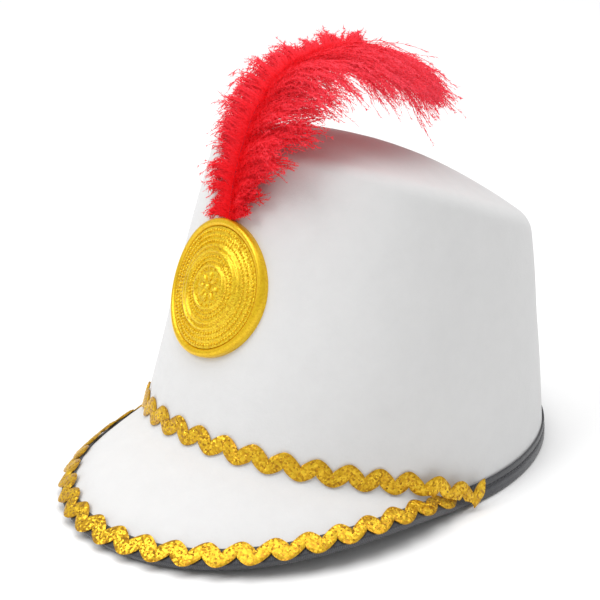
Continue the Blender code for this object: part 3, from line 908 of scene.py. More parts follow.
@dataclass
class EdgeBinding:
    """The black tape folded over the felt's edge, with a stitched groove along its outer leg."""

    form: HatForm
    width: float = 0.0066
    folded_width: float = 0.0058
    columns: int = 280
    leg_rows: int = 12
    fold_rows: int = 10
    groove_depth: float = 0.00035
    groove_width: float = 0.0009
    pad: float = 0.0003
    stitch_line_points: int = 1200
    stitch_pitch: float = 0.0027
    stitch_radius: float = 0.00022
    stitch_share: float = 0.38
    stitch_sink: float = 0.4
    stitch_turn: float = 0.005
    fold_roundness: float = 0.5
    pad_roundness: float = 0.6
    pad_sink: float = 0.7
    wall_share: float = 0.8

    def fold_depth(self, angle: np.ndarray) -> np.ndarray:
        """How far the fold reaches past the felt's edge."""
        return mix(self.form.stand, self.form.hem_stand, smooth(self.form.peak_share(angle) * 10 - 9))

    def outer_lift(self, run: np.ndarray) -> np.ndarray:
        """Height of the outer leg's face: two soft pads with a groove between, thin at its edge.

        Args:
            run: runs up the felt from its edge.

        Returns:
            Heights above the felt.
        """
        share = np.clip(run / self.width, 0, 1)
        padded = self.pad * np.abs(np.sin(2 * math.pi * share)) ** self.pad_roundness
        groove = self.groove_depth * np.exp(-(((run - self.width / 2) / self.groove_width) ** 2))
        return self.form.stand - self.pad * self.pad_sink + padded - groove

    def build(self, finish: GrosgrainTape) -> list[bpy.types.Object]:
        """Models the tape and its stitches and dresses them.

        Args:
            finish: their material.

        Returns:
            The tape and the stitches.
        """
        form = self.form
        angle = np.linspace(-math.pi, math.pi, self.columns + 1)
        inside = form.felt + form.fold_gap + form.tape
        rows = []
        for share in np.linspace(1, 0, self.leg_rows // 2 + 1)[:-1]:
            rows.append(form.skin(angle, share * self.folded_width, -inside))
        half, middle = (form.stand + inside) / 2, (form.stand - inside) / 2
        depth = self.fold_depth(angle)
        for turn in np.linspace(0, math.pi, self.fold_rows + 1):
            across = -math.copysign(abs(math.cos(turn)) ** self.fold_roundness, math.cos(turn))
            down = math.sin(turn) ** self.fold_roundness
            rows.append(form.skin(angle, -depth * down, middle + half * across))
        for share in np.linspace(0, 1, self.leg_rows + 1)[1:]:
            run = share * self.width
            rows.append(form.skin(angle, run, self.outer_lift(np.full_like(angle, run))))
        tape = wrapped_grid("edge_tape", np.stack(rows))
        weld(tape)
        apply_modifier(tape, "SOLIDIFY", thickness=form.tape * self.wall_share, offset=-1.0)
        stitches = self.stitches()
        self.press_flat(tape)
        self.press_flat(stitches)
        made = finish.material()
        return [finish_piece(tape, made, Slot.TAPE, "edge_binding"), finish_piece(stitches, made, Slot.TAPE)]

    def press_flat(self, obj: bpy.types.Object) -> None:
        """Flattens a piece where it would reach below the surface that the hat rests on."""
        points = coordinates_of(obj)
        points[:, 2] = np.maximum(points[:, 2], 0.0)
        move_vertices(obj, points)

    def stitches(self) -> bpy.types.Object:
        """A row of stitches that pull the tape's groove down, once round.

        Returns:
            The stitches, as one mesh.
        """
        form = self.form
        angle = np.linspace(-math.pi, math.pi, self.stitch_line_points)
        run, lift = self.width / 2, form.stand - self.groove_depth * self.stitch_sink
        line = form.skin(angle, run, lift)
        length = added_up(step_lengths(line))
        count = int(length[-1] / self.stitch_pitch)
        deselect()
        bpy.ops.mesh.primitive_uv_sphere_add(segments=6, ring_count=6, radius=1)
        shape, faces = take_template()
        middle = np.interp((np.arange(count) + 0.5) * length[-1] / count, length, angle)
        centre = form.skin(middle, run, lift)
        turn = self.stitch_turn
        along = unit(form.skin_point(middle + turn, run) - form.skin_point(middle - turn, run))
        out = form.skin_normal(middle, run)
        across = np.cross(out, along)
        radius, half = self.stitch_radius, self.stitch_pitch * self.stitch_share
        points = (
            centre[:, None]
            + along[:, None] * (shape[:, 2] * half)[None, :, None]
            + across[:, None] * (shape[:, 0] * radius)[None, :, None]
            + out[:, None] * (shape[:, 1] * radius)[None, :, None]
        )
        return mesh_of_copies("edge_stitches", points, faces)


@dataclass
class RicRac:
    """Gold ric-rac braid, which lies in even waves with round crests."""

    form: HatForm
    width: float = 0.011
    band: float = 0.0065
    wave: float = 0.0132
    thickness: float = 0.0011
    line_points: int = 401
    steps_per_wave: int = 34
    rows: int = 10
    strands: int = 5
    strand_depth: float = 0.00016
    roundness: float = 0.74
    lobe: float = 0.65
    edge_fall: float = 0.45
    strand_sway: float = 2.5
    wall_share: float = 0.6

    def edge(self, phase: np.ndarray) -> np.ndarray:
        """The braid's edge from -1 to 1: round at its crests and pinched in its valleys."""
        lobe = 2 * np.abs(np.cos(phase / 2)) ** self.lobe - 1
        return mix(np.cos(phase), lobe, self.roundness)

    def build(
        self,
        name: str,
        limit: float,
        centre_run: Callable[[np.ndarray], np.ndarray],
        lift: Callable[[np.ndarray], np.ndarray],
        finish: Glitter,
        node: str,
    ) -> bpy.types.Object:
        """Models one braid from temple to temple and dresses it.

        Args:
            name: the new piece's name.
            limit: the angle at which it ends.
            centre_run: the run of its middle line by angle.
            lift: its height above the felt by angle.
            finish: its glitter.
            node: the CAD node that it stands for.

        Returns:
            The braid.
        """
        form = self.form
        fine = np.linspace(-limit, limit, self.line_points)
        line = form.skin(fine, centre_run(fine), lift(fine))
        length = added_up(step_lengths(line))
        waves = round(length[-1] / self.wave)
        steps = waves * self.steps_per_wave
        angle = np.interp(np.linspace(0, length[-1], steps + 1), length, fine)
        phase = 2 * math.pi * np.arange(steps + 1) / self.steps_per_wave
        swing = (self.width - self.band) / 2
        middle, base = centre_run(angle), lift(angle)
        high = middle + self.band / 2 + swing * self.edge(phase)
        low = middle - self.band / 2 - swing * self.edge(phase + math.pi)
        rows = []
        for place in np.linspace(-1, 1, self.rows + 1):
            share = (place + 1) / 2
            dome = 1 - self.edge_fall * abs(place) ** 3
            strand = np.cos(math.pi * self.strands * place + self.strand_sway * np.sin(phase))
            height = base + self.thickness * dome + self.strand_depth * strand * (1 - abs(place) ** 6)
            rows.append(form.skin(angle, mix(low, high, share), height))
        braid = wrapped_grid(name, np.stack(rows))
        flat = np.tile(np.abs(np.linspace(-1, 1, self.rows + 1))[:, None], (1, steps + 1))
        self.mark_edges(braid, flat)
        apply_modifier(braid, "SOLIDIFY", thickness=self.thickness * self.wall_share, offset=-1.0)
        return finish_piece(braid, finish.material(), Slot.BRAID, node, sharp=60)

    def mark_edges(self, braid: bpy.types.Object, flat: np.ndarray) -> None:
        """Writes into the UV map's V how near each point is to the braid's edge, where its glitter paints
        shade.

        Args:
            braid: the braid.
            flat: 0 at its middle and 1 at its edges, rows by columns.
        """
        count = flat.size
        columns = flat.shape[1]
        index = np.arange(count)
        along = (index % columns).astype(float) / self.steps_per_wave
        set_uv(braid, along, flat.ravel())


@dataclass
class Braids:
    """The two braids: one over the crease and one on the binding of the peak."""

    form: HatForm
    ricrac: RicRac
    binding_width: float = 0.0066
    overrun: float = math.radians(4)
    setback: float = math.radians(3)
    crossing_clearance: float = 0.002
    crossing_start: float = 0.0004
    crossing_length: float = 0.0042

    def crown_run(self, angle: np.ndarray) -> np.ndarray:
        """The middle of the crown's braid, which comes down to the hem at the temples.

        Args:
            angle: angles from the front.

        Returns:
            Runs up the felt.
        """
        form, half = self.form, self.ricrac.width / 2
        width = form.peak_run(angle)
        low, clear = half + form.gap - form.hem_stand, half + form.gap
        return width + mix(low, clear, smooth(width / self.binding_width))

    def crown_lift(self, angle: np.ndarray) -> np.ndarray:
        """Height of the crown's braid, which rides up over the peak's braid near the temples.

        Args:
            angle: angles from the front.

        Returns:
            Heights above the felt.
        """
        form = self.form
        raised = form.stand + self.ricrac.thickness + self.crossing_clearance
        free = form.peak_run(angle) - self.binding_width
        return mix(raised, form.gap, smooth((free - self.crossing_start) / self.crossing_length))

    def peak_run(self, angle: np.ndarray) -> np.ndarray:
        """The middle of the peak's braid, along the middle of the binding."""
        return np.full_like(angle, self.binding_width / 2)

    def peak_lift(self, angle: np.ndarray) -> np.ndarray:
        """Height of the peak's braid, on the binding."""
        return np.full_like(angle, self.form.stand + self.form.gap)

    def build(self, finish: Glitter) -> None:
        """Models both braids.

        Args:
            finish: their glitter.
        """
        spread = self.form.peak_spread
        self.ricrac.build(
            "crown_ricrac", spread + self.overrun, self.crown_run, self.crown_lift, finish, "crown_braid"
        )
        self.ricrac.build(
            "peak_ricrac", spread - self.setback, self.peak_run, self.peak_lift, finish, "peak_braid"
        )


@dataclass
class Medallion:
    """The moulded gold disc: a round rim, ridges, rings of small beads and a rosette."""

    form: HatForm
    diameter: float = 0.0575
    height: float = 0.089
    turn: float = math.radians(-4.4)
    bend: float = 0.11
    rim_depth: float = 0.0032
    dome_rise: float = 0.0013
    wall: float = 0.001
    rim_width: float = 0.0034
    field_gap: float = 0.0002
    relief: float = 0.0005
    sides: int = 144
    bead_rings: tuple = ((0.825, 0.62), (0.745, 0.56), (0.67, 0.6), (0.44, 0.58), (0.375, 0.5))
    bead_spacing: float = 2.6
    bead_height: float = 1.3
    ridges: tuple = (0.6, 0.52, 0.31)
    ridge_width: float = 0.00095
    ridge_section: tuple = ((1.0, -1.0), (0.6, 0.0), (0.25, 0.75), (-0.25, 0.75), (-0.6, 0.0), (-1.0, -1.0))
    centre_rings: tuple = (0.24, 0.16, 0.08, 0.0)
    petals: int = 8
    petal_ring: float = 0.15
    petal_mm: tuple = (2.1, 1.15, 0.8)
    bud_ring: float = 0.265
    bud_mm: tuple = (0.6, 0.45, 0.5)
    boss_mm: tuple = (1.5, 1.5, 1.1)
    foot_depth: float = -0.0008
    rim_steps: int = 8
    rim_rise: float = 1.05
    wall_share: float = 0.6

    def front_of_wall(self, x: float, height: float) -> Vector:
        """The wall's outer face at the front of the hat, by its side and height.

        Args:
            x: place across.
            height: height in metres.

        Returns:
            The point.
        """
        form, angle = self.form, 0.0
        for _ in range(4):
            share = height / float(form.wall_top(np.array(angle)))
            half = mix(form.head_width, form.top_width, share) / 2
            turned = math.asin(abs(x / half) ** (mix(2.0, form.top_squareness, share) / 2))
            angle = math.copysign(turned, x)
        return Vector(form.wall_point(np.array(angle), height))

    def frame(self) -> tuple[Vector, Vector, Vector, Vector]:
        """Centre on the felt, side, up and outward directions."""
        form, turn = self.form, np.array(self.turn)
        centre = Vector(form.wall_point(turn, self.height))
        up = (Vector(form.wall_point(turn, self.height + form.step_run)) - centre).normalized()
        low = self.front_of_wall(centre.x - self.diameter / 4, centre.z)
        high = self.front_of_wall(centre.x + self.diameter / 4, centre.z)
        out = (high - low).cross(up).normalized()
        return centre, up.cross(out), up, out

    def face_depth(self, radius: float) -> float:
        """Depth of the domed face at a radius."""
        share = radius / (self.diameter / 2)
        return self.rim_depth - self.relief + self.dome_rise * (1 - share**2)

    def profile(self) -> list[tuple[float, float]]:
        """The disc's half section, from the foot of its rim to its centre, as radius and depth.

        Returns:
            Pairs of radius and depth.
        """
        outer = self.diameter / 2
        middle, half = outer - self.rim_width / 2, self.rim_width / 2
        foot = self.foot_depth
        points = [(outer - self.wall, foot), (outer, foot), (outer, self.rim_depth - half * 1.1)]
        for step in range(self.rim_steps + 1):
            turn = math.pi * step / self.rim_steps
            depth = self.rim_depth - half * 0.9 + half * self.rim_rise * math.sin(turn)
            points.append((middle + half * math.cos(turn), depth))
        field_edge = outer - self.rim_width - self.field_gap
        points.append((field_edge, self.face_depth(field_edge) - self.relief))
        for ridge in self.ridges:
            for place, rise in self.ridge_section:
                at = ridge * outer + place * self.ridge_width
                points.append((at, self.face_depth(at) + self.relief * rise))
        for share in self.centre_rings:
            points.append((share * outer, self.face_depth(share * outer) - self.relief))
        return points

    def disc(self) -> bpy.types.Object:
        """Spins the half section once round.

        Returns:
            The disc, lying flat.
        """
        profile = self.profile()
        mesh = bpy.data.meshes.new("medallion_disc")
        mesh.from_pydata([(r, 0, d) for r, d in profile], [(k, k + 1) for k in range(len(profile) - 1)], [])
        disc = bpy.data.objects.new("medallion_disc", mesh)
        bpy.context.scene.collection.objects.link(disc)
        start_edit(disc)
        bpy.ops.mesh.spin(steps=self.sides, angle=2 * math.pi, center=(0, 0, 0), axis=(0, 0, 1))
        bpy.ops.mesh.select_all(action="SELECT")
        bpy.ops.mesh.remove_doubles(threshold=0.01 * MM)
        bpy.ops.mesh.normals_make_consistent(inside=False)
        bpy.ops.object.mode_set(mode="OBJECT")
        centre_face = max(disc.data.polygons, key=lambda p: -p.center.xy.length)
        if centre_face.normal.z < 0:
            bpy.ops.object.mode_set(mode="EDIT")
            bpy.ops.mesh.flip_normals()
            bpy.ops.object.mode_set(mode="OBJECT")
        apply_modifier(disc, "SOLIDIFY", thickness=self.wall * self.wall_share, offset=-1.0)
        return disc

    def beads(self) -> bpy.types.Object:
        """Rings of beads and the rosette's petals, copied from one bead.

        Returns:
            The beads, as one flat mesh.
        """
        deselect()
        bpy.ops.mesh.primitive_ico_sphere_add(subdivisions=2, radius=1)
        shape, faces = take_template()
        outer = self.diameter / 2
        places = []
        for ring, size_mm in self.bead_rings:
            size = size_mm * MM
            count = int(2 * math.pi * ring * outer / (self.bead_spacing * size))
            for k in range(count):
                places.append((ring * outer, 2 * math.pi * k / count, size, size, size))
        for k in range(self.petals):
            turn = 2 * math.pi * k / self.petals
            places.append((self.petal_ring * outer, turn, *np.array(self.petal_mm) * MM))
        for k in range(2 * self.petals):
            turn = math.pi * (k + 0.5) / self.petals
            places.append((self.bud_ring * outer, turn, *np.array(self.bud_mm) * MM))
        places.append((0.0, 0.0, *np.array(self.boss_mm) * MM))
        points = []
        for radius, turn, long, wide, tall in places:
            along = np.array([math.cos(turn), math.sin(turn), 0])
            across = np.array([-math.sin(turn), math.cos(turn), 0])
            depth = self.face_depth(radius) - self.relief
            centre = along * radius + np.array([0, 0, depth])
            placed = centre + np.outer(shape[:, 0] * long, along) + np.outer(shape[:, 1] * wide, across)
            placed[:, 2] += shape[:, 2] * tall * self.bead_height
            points.append(placed)
        return mesh_of_copies("medallion_beads", np.stack(points), faces)

    def bend_to_crown(self, obj: bpy.types.Object) -> None:
        """Bends the flat disc and puts it on the front of the crown.

        Args:
            obj: the disc.
        """
        centre, side, up, out = (np.array(v) for v in self.frame())
        flat = coordinates_of(obj)
        across = flat[:, 0]
        depth = flat[:, 2] - across**2 / (2 * self.bend)
        placed = centre + np.outer(across, side) + np.outer(flat[:, 1], up) + np.outer(depth, out)
        move_vertices(obj, placed)

    def build(self, face: Glitter, rim: Glitter) -> bpy.types.Object:
        """Models the medallion and dresses its beaded face and its smooth rim.

        Args:
            face: the face's glitter.
            rim: the rim's finish.

        Returns:
            The medallion.
        """
        disc = self.disc()
        select(disc, self.beads())
        bpy.ops.object.join()
        disc.name = disc.data.name = "medallion_gold"
        inner = self.diameter / 2 - self.rim_width
        on_rim = [int(polygon.center.xy.length > inner) for polygon in disc.data.polygons]
        self.bend_to_crown(disc)
        finish_piece(disc, face.material(), Slot.GOLD, "medallion", sharp=50)
        disc.data.materials.append(rim.material())
        disc.data.polygons.foreach_set("material_index", on_rim)
        return disc


@dataclass(frozen=True)
class BarbStation:
    """How the barbs stand at one place along the quill."""

    along: float
    length: float
    sweep: float
    rise: float
    droop: float


@dataclass(frozen=True)
class BarbVariety:
    """How barbs differ: in part by locks that lie together, in part each for itself."""

    shared: float = 0.7
    shared_limit: float = 1.3
    own: float = 0.5
    own_limit: float = 1.6
    along: float = 0.002
    length: float = 0.12
    sweep: float = 7
    rise: float = 0.14
    droop: float = 0.22
    curl: tuple = (0.02, 0.16)
    curl_start: float = 0.55
    curl_spread: float = 0.6
    curl_back: float = 0.7
    curl_fall: float = 0.5
    frizz_mm: float = 0.9
    frizz_turns: tuple = (8, 20)
    frizz_start: tuple = (0, 6)


@dataclass(frozen=True)
class DownVariety:
    """How the down's spikes differ along a barb and round it."""

    towards_root: float = 1.25
    lean: tuple = (0.3, 0.95)
    length: tuple = (0.5, 1.25)
    thinning: float = 0.45
    # Painted light: the down is pinker towards its barb's end and its own tip; tone is a random unevenness.
    tone_along: float = 0.6
    tone_outward: float = 0.3
    tone: float = 0.08


@dataclass
class Plume:
    """The ostrich plume: a tapering quill, long soft barbs to both sides, and down along each barb."""

    form: HatForm
    medallion: Medallion
    reach: float = 0.0945
    rise: float = 0.0652
    yaw: float = math.radians(15)
    quill_radius: float = 0.00065
    quill_steps: int = 60
    quill_sides: int = 10
    tip_radius: float = 0.0003
    tail: float = 0.012
    barb_length: float = 0.055
    barb_radius: float = 0.00019
    barb_segments: int = 9
    barb_hint: tuple = (0.13, 0.21, 0.97)
    barbs_per_side: int = 1450
    barbs_per_lock: int = 22
    down_pieces: int = 3
    down_per_piece: int = 45000
    down_length: float = 0.003
    down_radius: float = 0.00015
    barb_taper: float = 0.35
    barb_clearance_mm: float = 0.8
    down_clearance_mm: float = 0.2
    barb_tone: float = 0.7
    quill_tone: float = 0.1
    pale_range: tuple = (0.35, 1.25)
    pale_by: float = 1.6
    vary: BarbVariety = BarbVariety()
    vary_down: DownVariety = DownVariety()
    seed: int = 11
    quill_back: tuple = (0.0, 0.02, 0.06, 0.13, 0.25, 0.42, 0.62, 0.82, 1.0)
    quill_up: tuple = (0.0, 0.2, 0.42, 0.66, 0.88, 0.98, 0.99, 0.88, 0.68)
    left: list = field(default_factory=lambda: [
        BarbStation(0.0, 0.26, 66, 0.0, 0.0),
        BarbStation(0.1, 0.46, 57, 0.0, 0.05),
        BarbStation(0.25, 0.83, 57, 0.04, 0.16),
        BarbStation(0.5, 0.94, 52, 0.14, 0.42),
        BarbStation(0.66, 0.82, 54, 0.12, 0.44),
        BarbStation(0.82, 0.5, 50, 0.13, 0.4),
        BarbStation(1.0, 0.12, 20, 0.1, 0.25),
    ])
    right: list = field(default_factory=lambda: [
        BarbStation(0.0, 0.3, 86, 0.0, 0.35),
        BarbStation(0.1, 0.36, 74, 0.0, 0.3),
        BarbStation(0.25, 0.47, 72, 0.0, 0.3),
        BarbStation(0.5, 0.54, 74, 0.06, 0.24),
        BarbStation(0.78, 0.42, 54, 0.16, 0.2),
        BarbStation(1.0, 0.16, 24, 0.14, 0.2),
    ])

    def __post_init__(self) -> None:
        """Starts the seeded random numbers that every draw comes from."""
        self.random = np.random.default_rng(self.seed)

    def spline(self, values: tuple, share: np.ndarray) -> np.ndarray:
        """A smooth curve through evenly numbered values.

        Args:
            values: the values.
            share: places along them, from 0 to 1.

        Returns:
            The curve's values.
        """
        v = np.concatenate([[2 * values[0] - values[1]], values, [2 * values[-1] - values[-2]]])
        place = np.clip(share, 0, 1) * (len(values) - 1)
        k = np.minimum(place.astype(int), len(values) - 2)
        t = place - k
        before, a, b, after = v[k], v[k + 1], v[k + 2], v[k + 3]
        return 0.5 * (
            2 * a + (b - before) * t
            + (2 * before - 5 * a + 4 * b - after) * t**2
            + (3 * a - before - 3 * b + after) * t**3
        )

    def quill_point(self, share: np.ndarray) -> np.ndarray:
        """The quill's line from the medallion's top to its tip.

        Args:
            share: places along it, from 0 to 1.

        Returns:
            Points.
        """
        centre, _, up, out = (np.array(v) for v in self.medallion.frame())
        start = centre + up * self.medallion.diameter / 2 + out * (self.quill_radius + 2 * self.form.gap)
        back = self.spline(self.quill_back, share) * self.reach
        height = self.spline(self.quill_up, share) * self.rise
        return start + np.stack([back * math.sin(self.yaw), back * math.cos(self.yaw), height], -1)

    def quill_direction(self, share: np.ndarray) -> np.ndarray:
        """Unit tangent of the quill's line."""
        low, high = np.maximum(share - 0.01, 0), np.minimum(share + 0.01, 1)
        return unit(self.quill_point(high) - self.quill_point(low))

    def side(self) -> np.ndarray:
        """Unit direction square to the plane that the quill curves in."""
        return np.array([math.cos(self.yaw), -math.sin(self.yaw), 0.0])

    def station(self, share: np.ndarray, column: str) -> np.ndarray:
        """A barb's length, sweep, rise or droop, with left and right barbs by turns.

        Args:
            share: each barb's place on the quill.
            column: the station's field.

        Returns:
            One value a barb.
        """
        sides = []
        for stations in (self.left, self.right):
            places = np.array([s.along for s in stations])
            values = np.array([getattr(s, column) for s in stations])
            k = np.clip(np.searchsorted(places, share, side="left") - 1, 0, len(places) - 2)
            part = (share - places[k]) / (places[k + 1] - places[k])
            sides.append(mix(values[k], values[k + 1], smooth(part)))
        return np.where(np.arange(len(share)) % 2 == 0, sides[0], sides[1])

    def quill(self) -> bpy.types.Object:
        """The quill: a circle extruded along its line, tapering.

        Returns:
            The quill.
        """
        share = np.linspace(0, 1, self.quill_steps + 1)
        line = self.quill_point(share)
        up = np.array(self.medallion.frame()[2])
        line = np.concatenate([[line[0] - up * self.tail], line])
        along = np.concatenate([[up], self.quill_direction(share)])
        across = np.broadcast_to(self.side(), line.shape)
        above = unit(np.cross(across, along))
        radius = mix(self.quill_radius, self.tip_radius, np.concatenate([[0.0], share]))
        turns = np.linspace(0, 2 * math.pi, self.quill_sides + 1)
        ring = across[:, None] * np.cos(turns)[None, :, None] + above[:, None] * np.sin(turns)[None, :, None]
        points = line[:, None] + ring * radius[:, None, None]
        shaft = wrapped_grid("plume_quill", points)
        weld(shaft)
        start_edit(shaft)
        bpy.ops.mesh.select_all(action="DESELECT")
        bpy.ops.mesh.select_non_manifold()
        bpy.ops.mesh.fill()
        bpy.ops.mesh.select_all(action="SELECT")
        bpy.ops.mesh.normals_make_consistent(inside=False)
        bpy.ops.object.mode_set(mode="OBJECT")
        return shaft

    def barb_lines(self) -> tuple[np.ndarray, np.ndarray]:
        """The barbs' middle lines.

        Returns:
            Barbs by steps by three, and each barb's share along the quill.
        """
        draw, vary = self.random, self.vary
        count = 2 * self.barbs_per_side
        share = np.repeat(np.linspace(0.0, 0.995, self.barbs_per_side), 2)
        share = np.clip(share + draw.normal(0, vary.along, count), 0, 1)
        outward = self.side()[None, :] * np.tile([1.0, -1.0], self.barbs_per_side)[:, None]
        lock = np.arange(count) // 2 // self.barbs_per_lock * 2 + np.arange(count) % 2
        shared = np.clip(draw.normal(0, 1, (lock.max() + 1, 4)), -vary.shared_limit, vary.shared_limit)[lock]
        own = np.clip(draw.normal(0, 1, (count, 4)), -vary.own_limit, vary.own_limit)
        drawn = vary.shared * shared + vary.own * own
        length = self.barb_length * self.station(share, "length") * (1 + vary.length * drawn[:, 0])
        sweep = np.radians(self.station(share, "sweep") + vary.sweep * drawn[:, 1])
        rise = self.station(share, "rise") + vary.rise * drawn[:, 2]
        droop = self.station(share, "droop") * (1 + vary.droop * drawn[:, 3])
        root, along = self.quill_point(share), self.quill_direction(share)
        above = unit(np.cross(self.side()[None, :], along))
        heading = along * lifted(np.cos(sweep)) + outward * lifted(np.sin(sweep))
        part = np.linspace(0, 1, self.barb_segments + 1)[None, :, None]
        reach = length[:, None, None]
        path = root[:, None] + (heading[:, None] + above[:, None] * rise[:, None, None]) * part * reach
        path[..., 2] -= droop[:, None] * length[:, None] * part[..., 0] ** 2
        end = smooth((part - vary.curl_start) / (1 - vary.curl_start))
        spread = draw.normal(0, 1, (count, 3)) * vary.curl_spread
        curl = unit(spread - heading * vary.curl_back + np.array([0, 0, -vary.curl_fall]))
        path += curl[:, None] * end**2 * reach * draw.uniform(*vary.curl, count)[:, None, None]
        frizz = unit(draw.normal(0, 1, (count, 3)))
        turns = draw.uniform(*vary.frizz_turns, count)[:, None, None]
        start = draw.uniform(*vary.frizz_start, count)[:, None, None]
        path += frizz[:, None] * np.sin(part * turns + start) * part * vary.frizz_mm * MM
        floor = self.form.top_height(path[..., 0], path[..., 1]) + self.barb_clearance_mm * MM
        path[..., 2] = np.maximum(path[..., 2], floor)
        return path, share

    def barbs(self, path: np.ndarray) -> tuple[bpy.types.Object, np.ndarray]:
        """Three-sided tapering tubes along the barbs' lines, copied from one extruded triangle.

        Args:
            path: barbs by steps by three.

        Returns:
            The barbs, and each point's share along its barb.
        """
        count, steps = path.shape[0], path.shape[1]
        deselect()
        bpy.ops.mesh.primitive_circle_add(vertices=3, radius=1, fill_type="NGON")
        bpy.ops.object.mode_set(mode="EDIT")
        bpy.ops.mesh.select_all(action="SELECT")
        for _ in range(steps - 1):
            bpy.ops.mesh.extrude_region_move(TRANSFORM_OT_translate={"value": (0, 0, 1)})
        bpy.ops.mesh.select_all(action="SELECT")
        bpy.ops.mesh.normals_make_consistent(inside=False)
        bpy.ops.mesh.quads_convert_to_tris()
        bpy.ops.object.mode_set(mode="OBJECT")
        shape, faces = take_template()
        step = np.rint(shape[:, 2]).astype(int)
        along = unit(np.gradient(path, axis=1))
        across = unit(np.cross(along, np.array(self.barb_hint)))
        above = np.cross(across, along)
        taper = mix(1.0, self.barb_taper, np.linspace(0, 1, steps)) * self.barb_radius
        points = (
            path[:, step]
            + across[:, step] * (shape[:, 0] * taper[step])[None, :, None]
            + above[:, step] * (shape[:, 1] * taper[step])[None, :, None]
        )
        return mesh_of_copies("plume_barbs", points, faces), np.tile(step / (steps - 1), count)

    def down(
        self, name: str, path: np.ndarray, share: np.ndarray, copies: int
    ) -> tuple[bpy.types.Object, np.ndarray]:
        """Fine down along a group of barbs, copied from one three-sided spike.

        Args:
            name: the new piece's name.
            path: the group's barbs by steps by three.
            share: each barb's place on the quill.
            copies: how many spikes.

        Returns:
            The down, and how light each of its points is.
        """
        draw, vary = self.random, self.vary_down
        deselect()
        bpy.ops.mesh.primitive_cone_add(vertices=3, radius1=1, depth=1, location=(0, 0, 0.5))
        bpy.ops.object.transform_apply(location=True, rotation=True, scale=True)
        shape, faces = take_template()
        steps = path.shape[1]
        length = np.linalg.norm(np.diff(path, axis=1), axis=2).sum(1)
        barb = draw.choice(len(path), copies, p=length / length.sum())
        part = draw.uniform(0.0, 1.0, copies) ** vary.towards_root
        place = part * (steps - 1)
        k = np.minimum(place.astype(int), steps - 2)
        t = lifted(place - k)
        root = mix(path[barb, k], path[barb, k + 1], t)
        along = unit(path[barb, k + 1] - path[barb, k])
        radial = unit(np.cross(along, draw.normal(0, 1, (copies, 3))))
        lean = draw.uniform(*vary.lean, copies)
        heading = along * lifted(np.cos(lean)) + radial * lifted(np.sin(lean))
        across = unit(np.cross(heading, radial + 0.01))
        above = np.cross(heading, across)
        reach = self.down_length * draw.uniform(*vary.length, copies) * (1 - vary.thinning * part)
        points = (
            root[:, None]
            + heading[:, None] * (reach[:, None] * shape[None, :, 2])[..., None]
            + across[:, None] * (self.down_radius * shape[:, 0])[None, :, None]
            + above[:, None] * (self.down_radius * shape[:, 1])[None, :, None]
        )
        low = self.form.top_height(points[..., 0], points[..., 1]) + self.down_clearance_mm * MM
        points[..., 2] = np.maximum(points[..., 2], low)
        obj = mesh_of_copies(name, points, faces)
        # Painted light: pinker towards the barb's end and the spike's tip, times the plume's paleness, with a
        # random unevenness.
        tone = part[:, None] * vary.tone_along + shape[None, :, 2] * vary.tone_outward
        unevenness = draw.uniform(-vary.tone, vary.tone, copies)
        tone = tone * self.paleness(share[barb])[:, None] + unevenness[:, None]
        return obj, tone.ravel()

    def paleness(self, share: np.ndarray) -> np.ndarray:
        """How pale a barb is by its place: deep red low on the quill, pinker towards its tip."""
        return mix(*self.pale_range, smooth(share * self.pale_by))

    def mark_tone(self, obj: bpy.types.Object, tone: np.ndarray, finish: OstrichDown) -> None:
        """Writes how light each point of the feather is, from 0 to 1.

        Args:
            obj: the piece.
            tone: one value a point.
            finish: the finish that reads it.
        """
        layer = obj.data.attributes.new(finish.tone, "FLOAT", "POINT")
        layer.data.foreach_set("value", np.clip(tone, 0, 1).astype(np.float32))

    def build(self, finish: OstrichDown, shaft: OstrichDown) -> None:
        """Models the plume and dresses its down and its quill.

        Args:
            finish: the down's finish.
            shaft: the quill's finish.
        """
        made = finish.material()
        quill = self.quill()
        self.mark_tone(quill, np.full(len(quill.data.vertices), self.quill_tone), finish)
        finish_piece(quill, shaft.material(), Slot.FEATHER, "plume")
        path, share = self.barb_lines()
        barbs, tone = self.barbs(path)
        # Painted light: each barb is pinker towards its end.
        pale = np.repeat(self.paleness(share), len(tone) // len(share))
        self.mark_tone(barbs, tone * self.barb_tone * pale, finish)
        finish_piece(barbs, made, Slot.FEATHER, "plume")
        length = np.linalg.norm(np.diff(path, axis=1), axis=2).sum(1)
        order = np.argsort(share, kind="stable")
        total = np.cumsum(length[order]) / length.sum()
        for k in range(self.down_pieces):
            chosen = order[(total > k / self.down_pieces) & (total <= (k + 1) / self.down_pieces)]
            down, tone = self.down(f"plume_down_{k + 1}", path[chosen], share[chosen], self.down_per_piece)
            self.mark_tone(down, tone, finish)
            finish_piece(down, made, Slot.FEATHER, "plume", sharp=30)


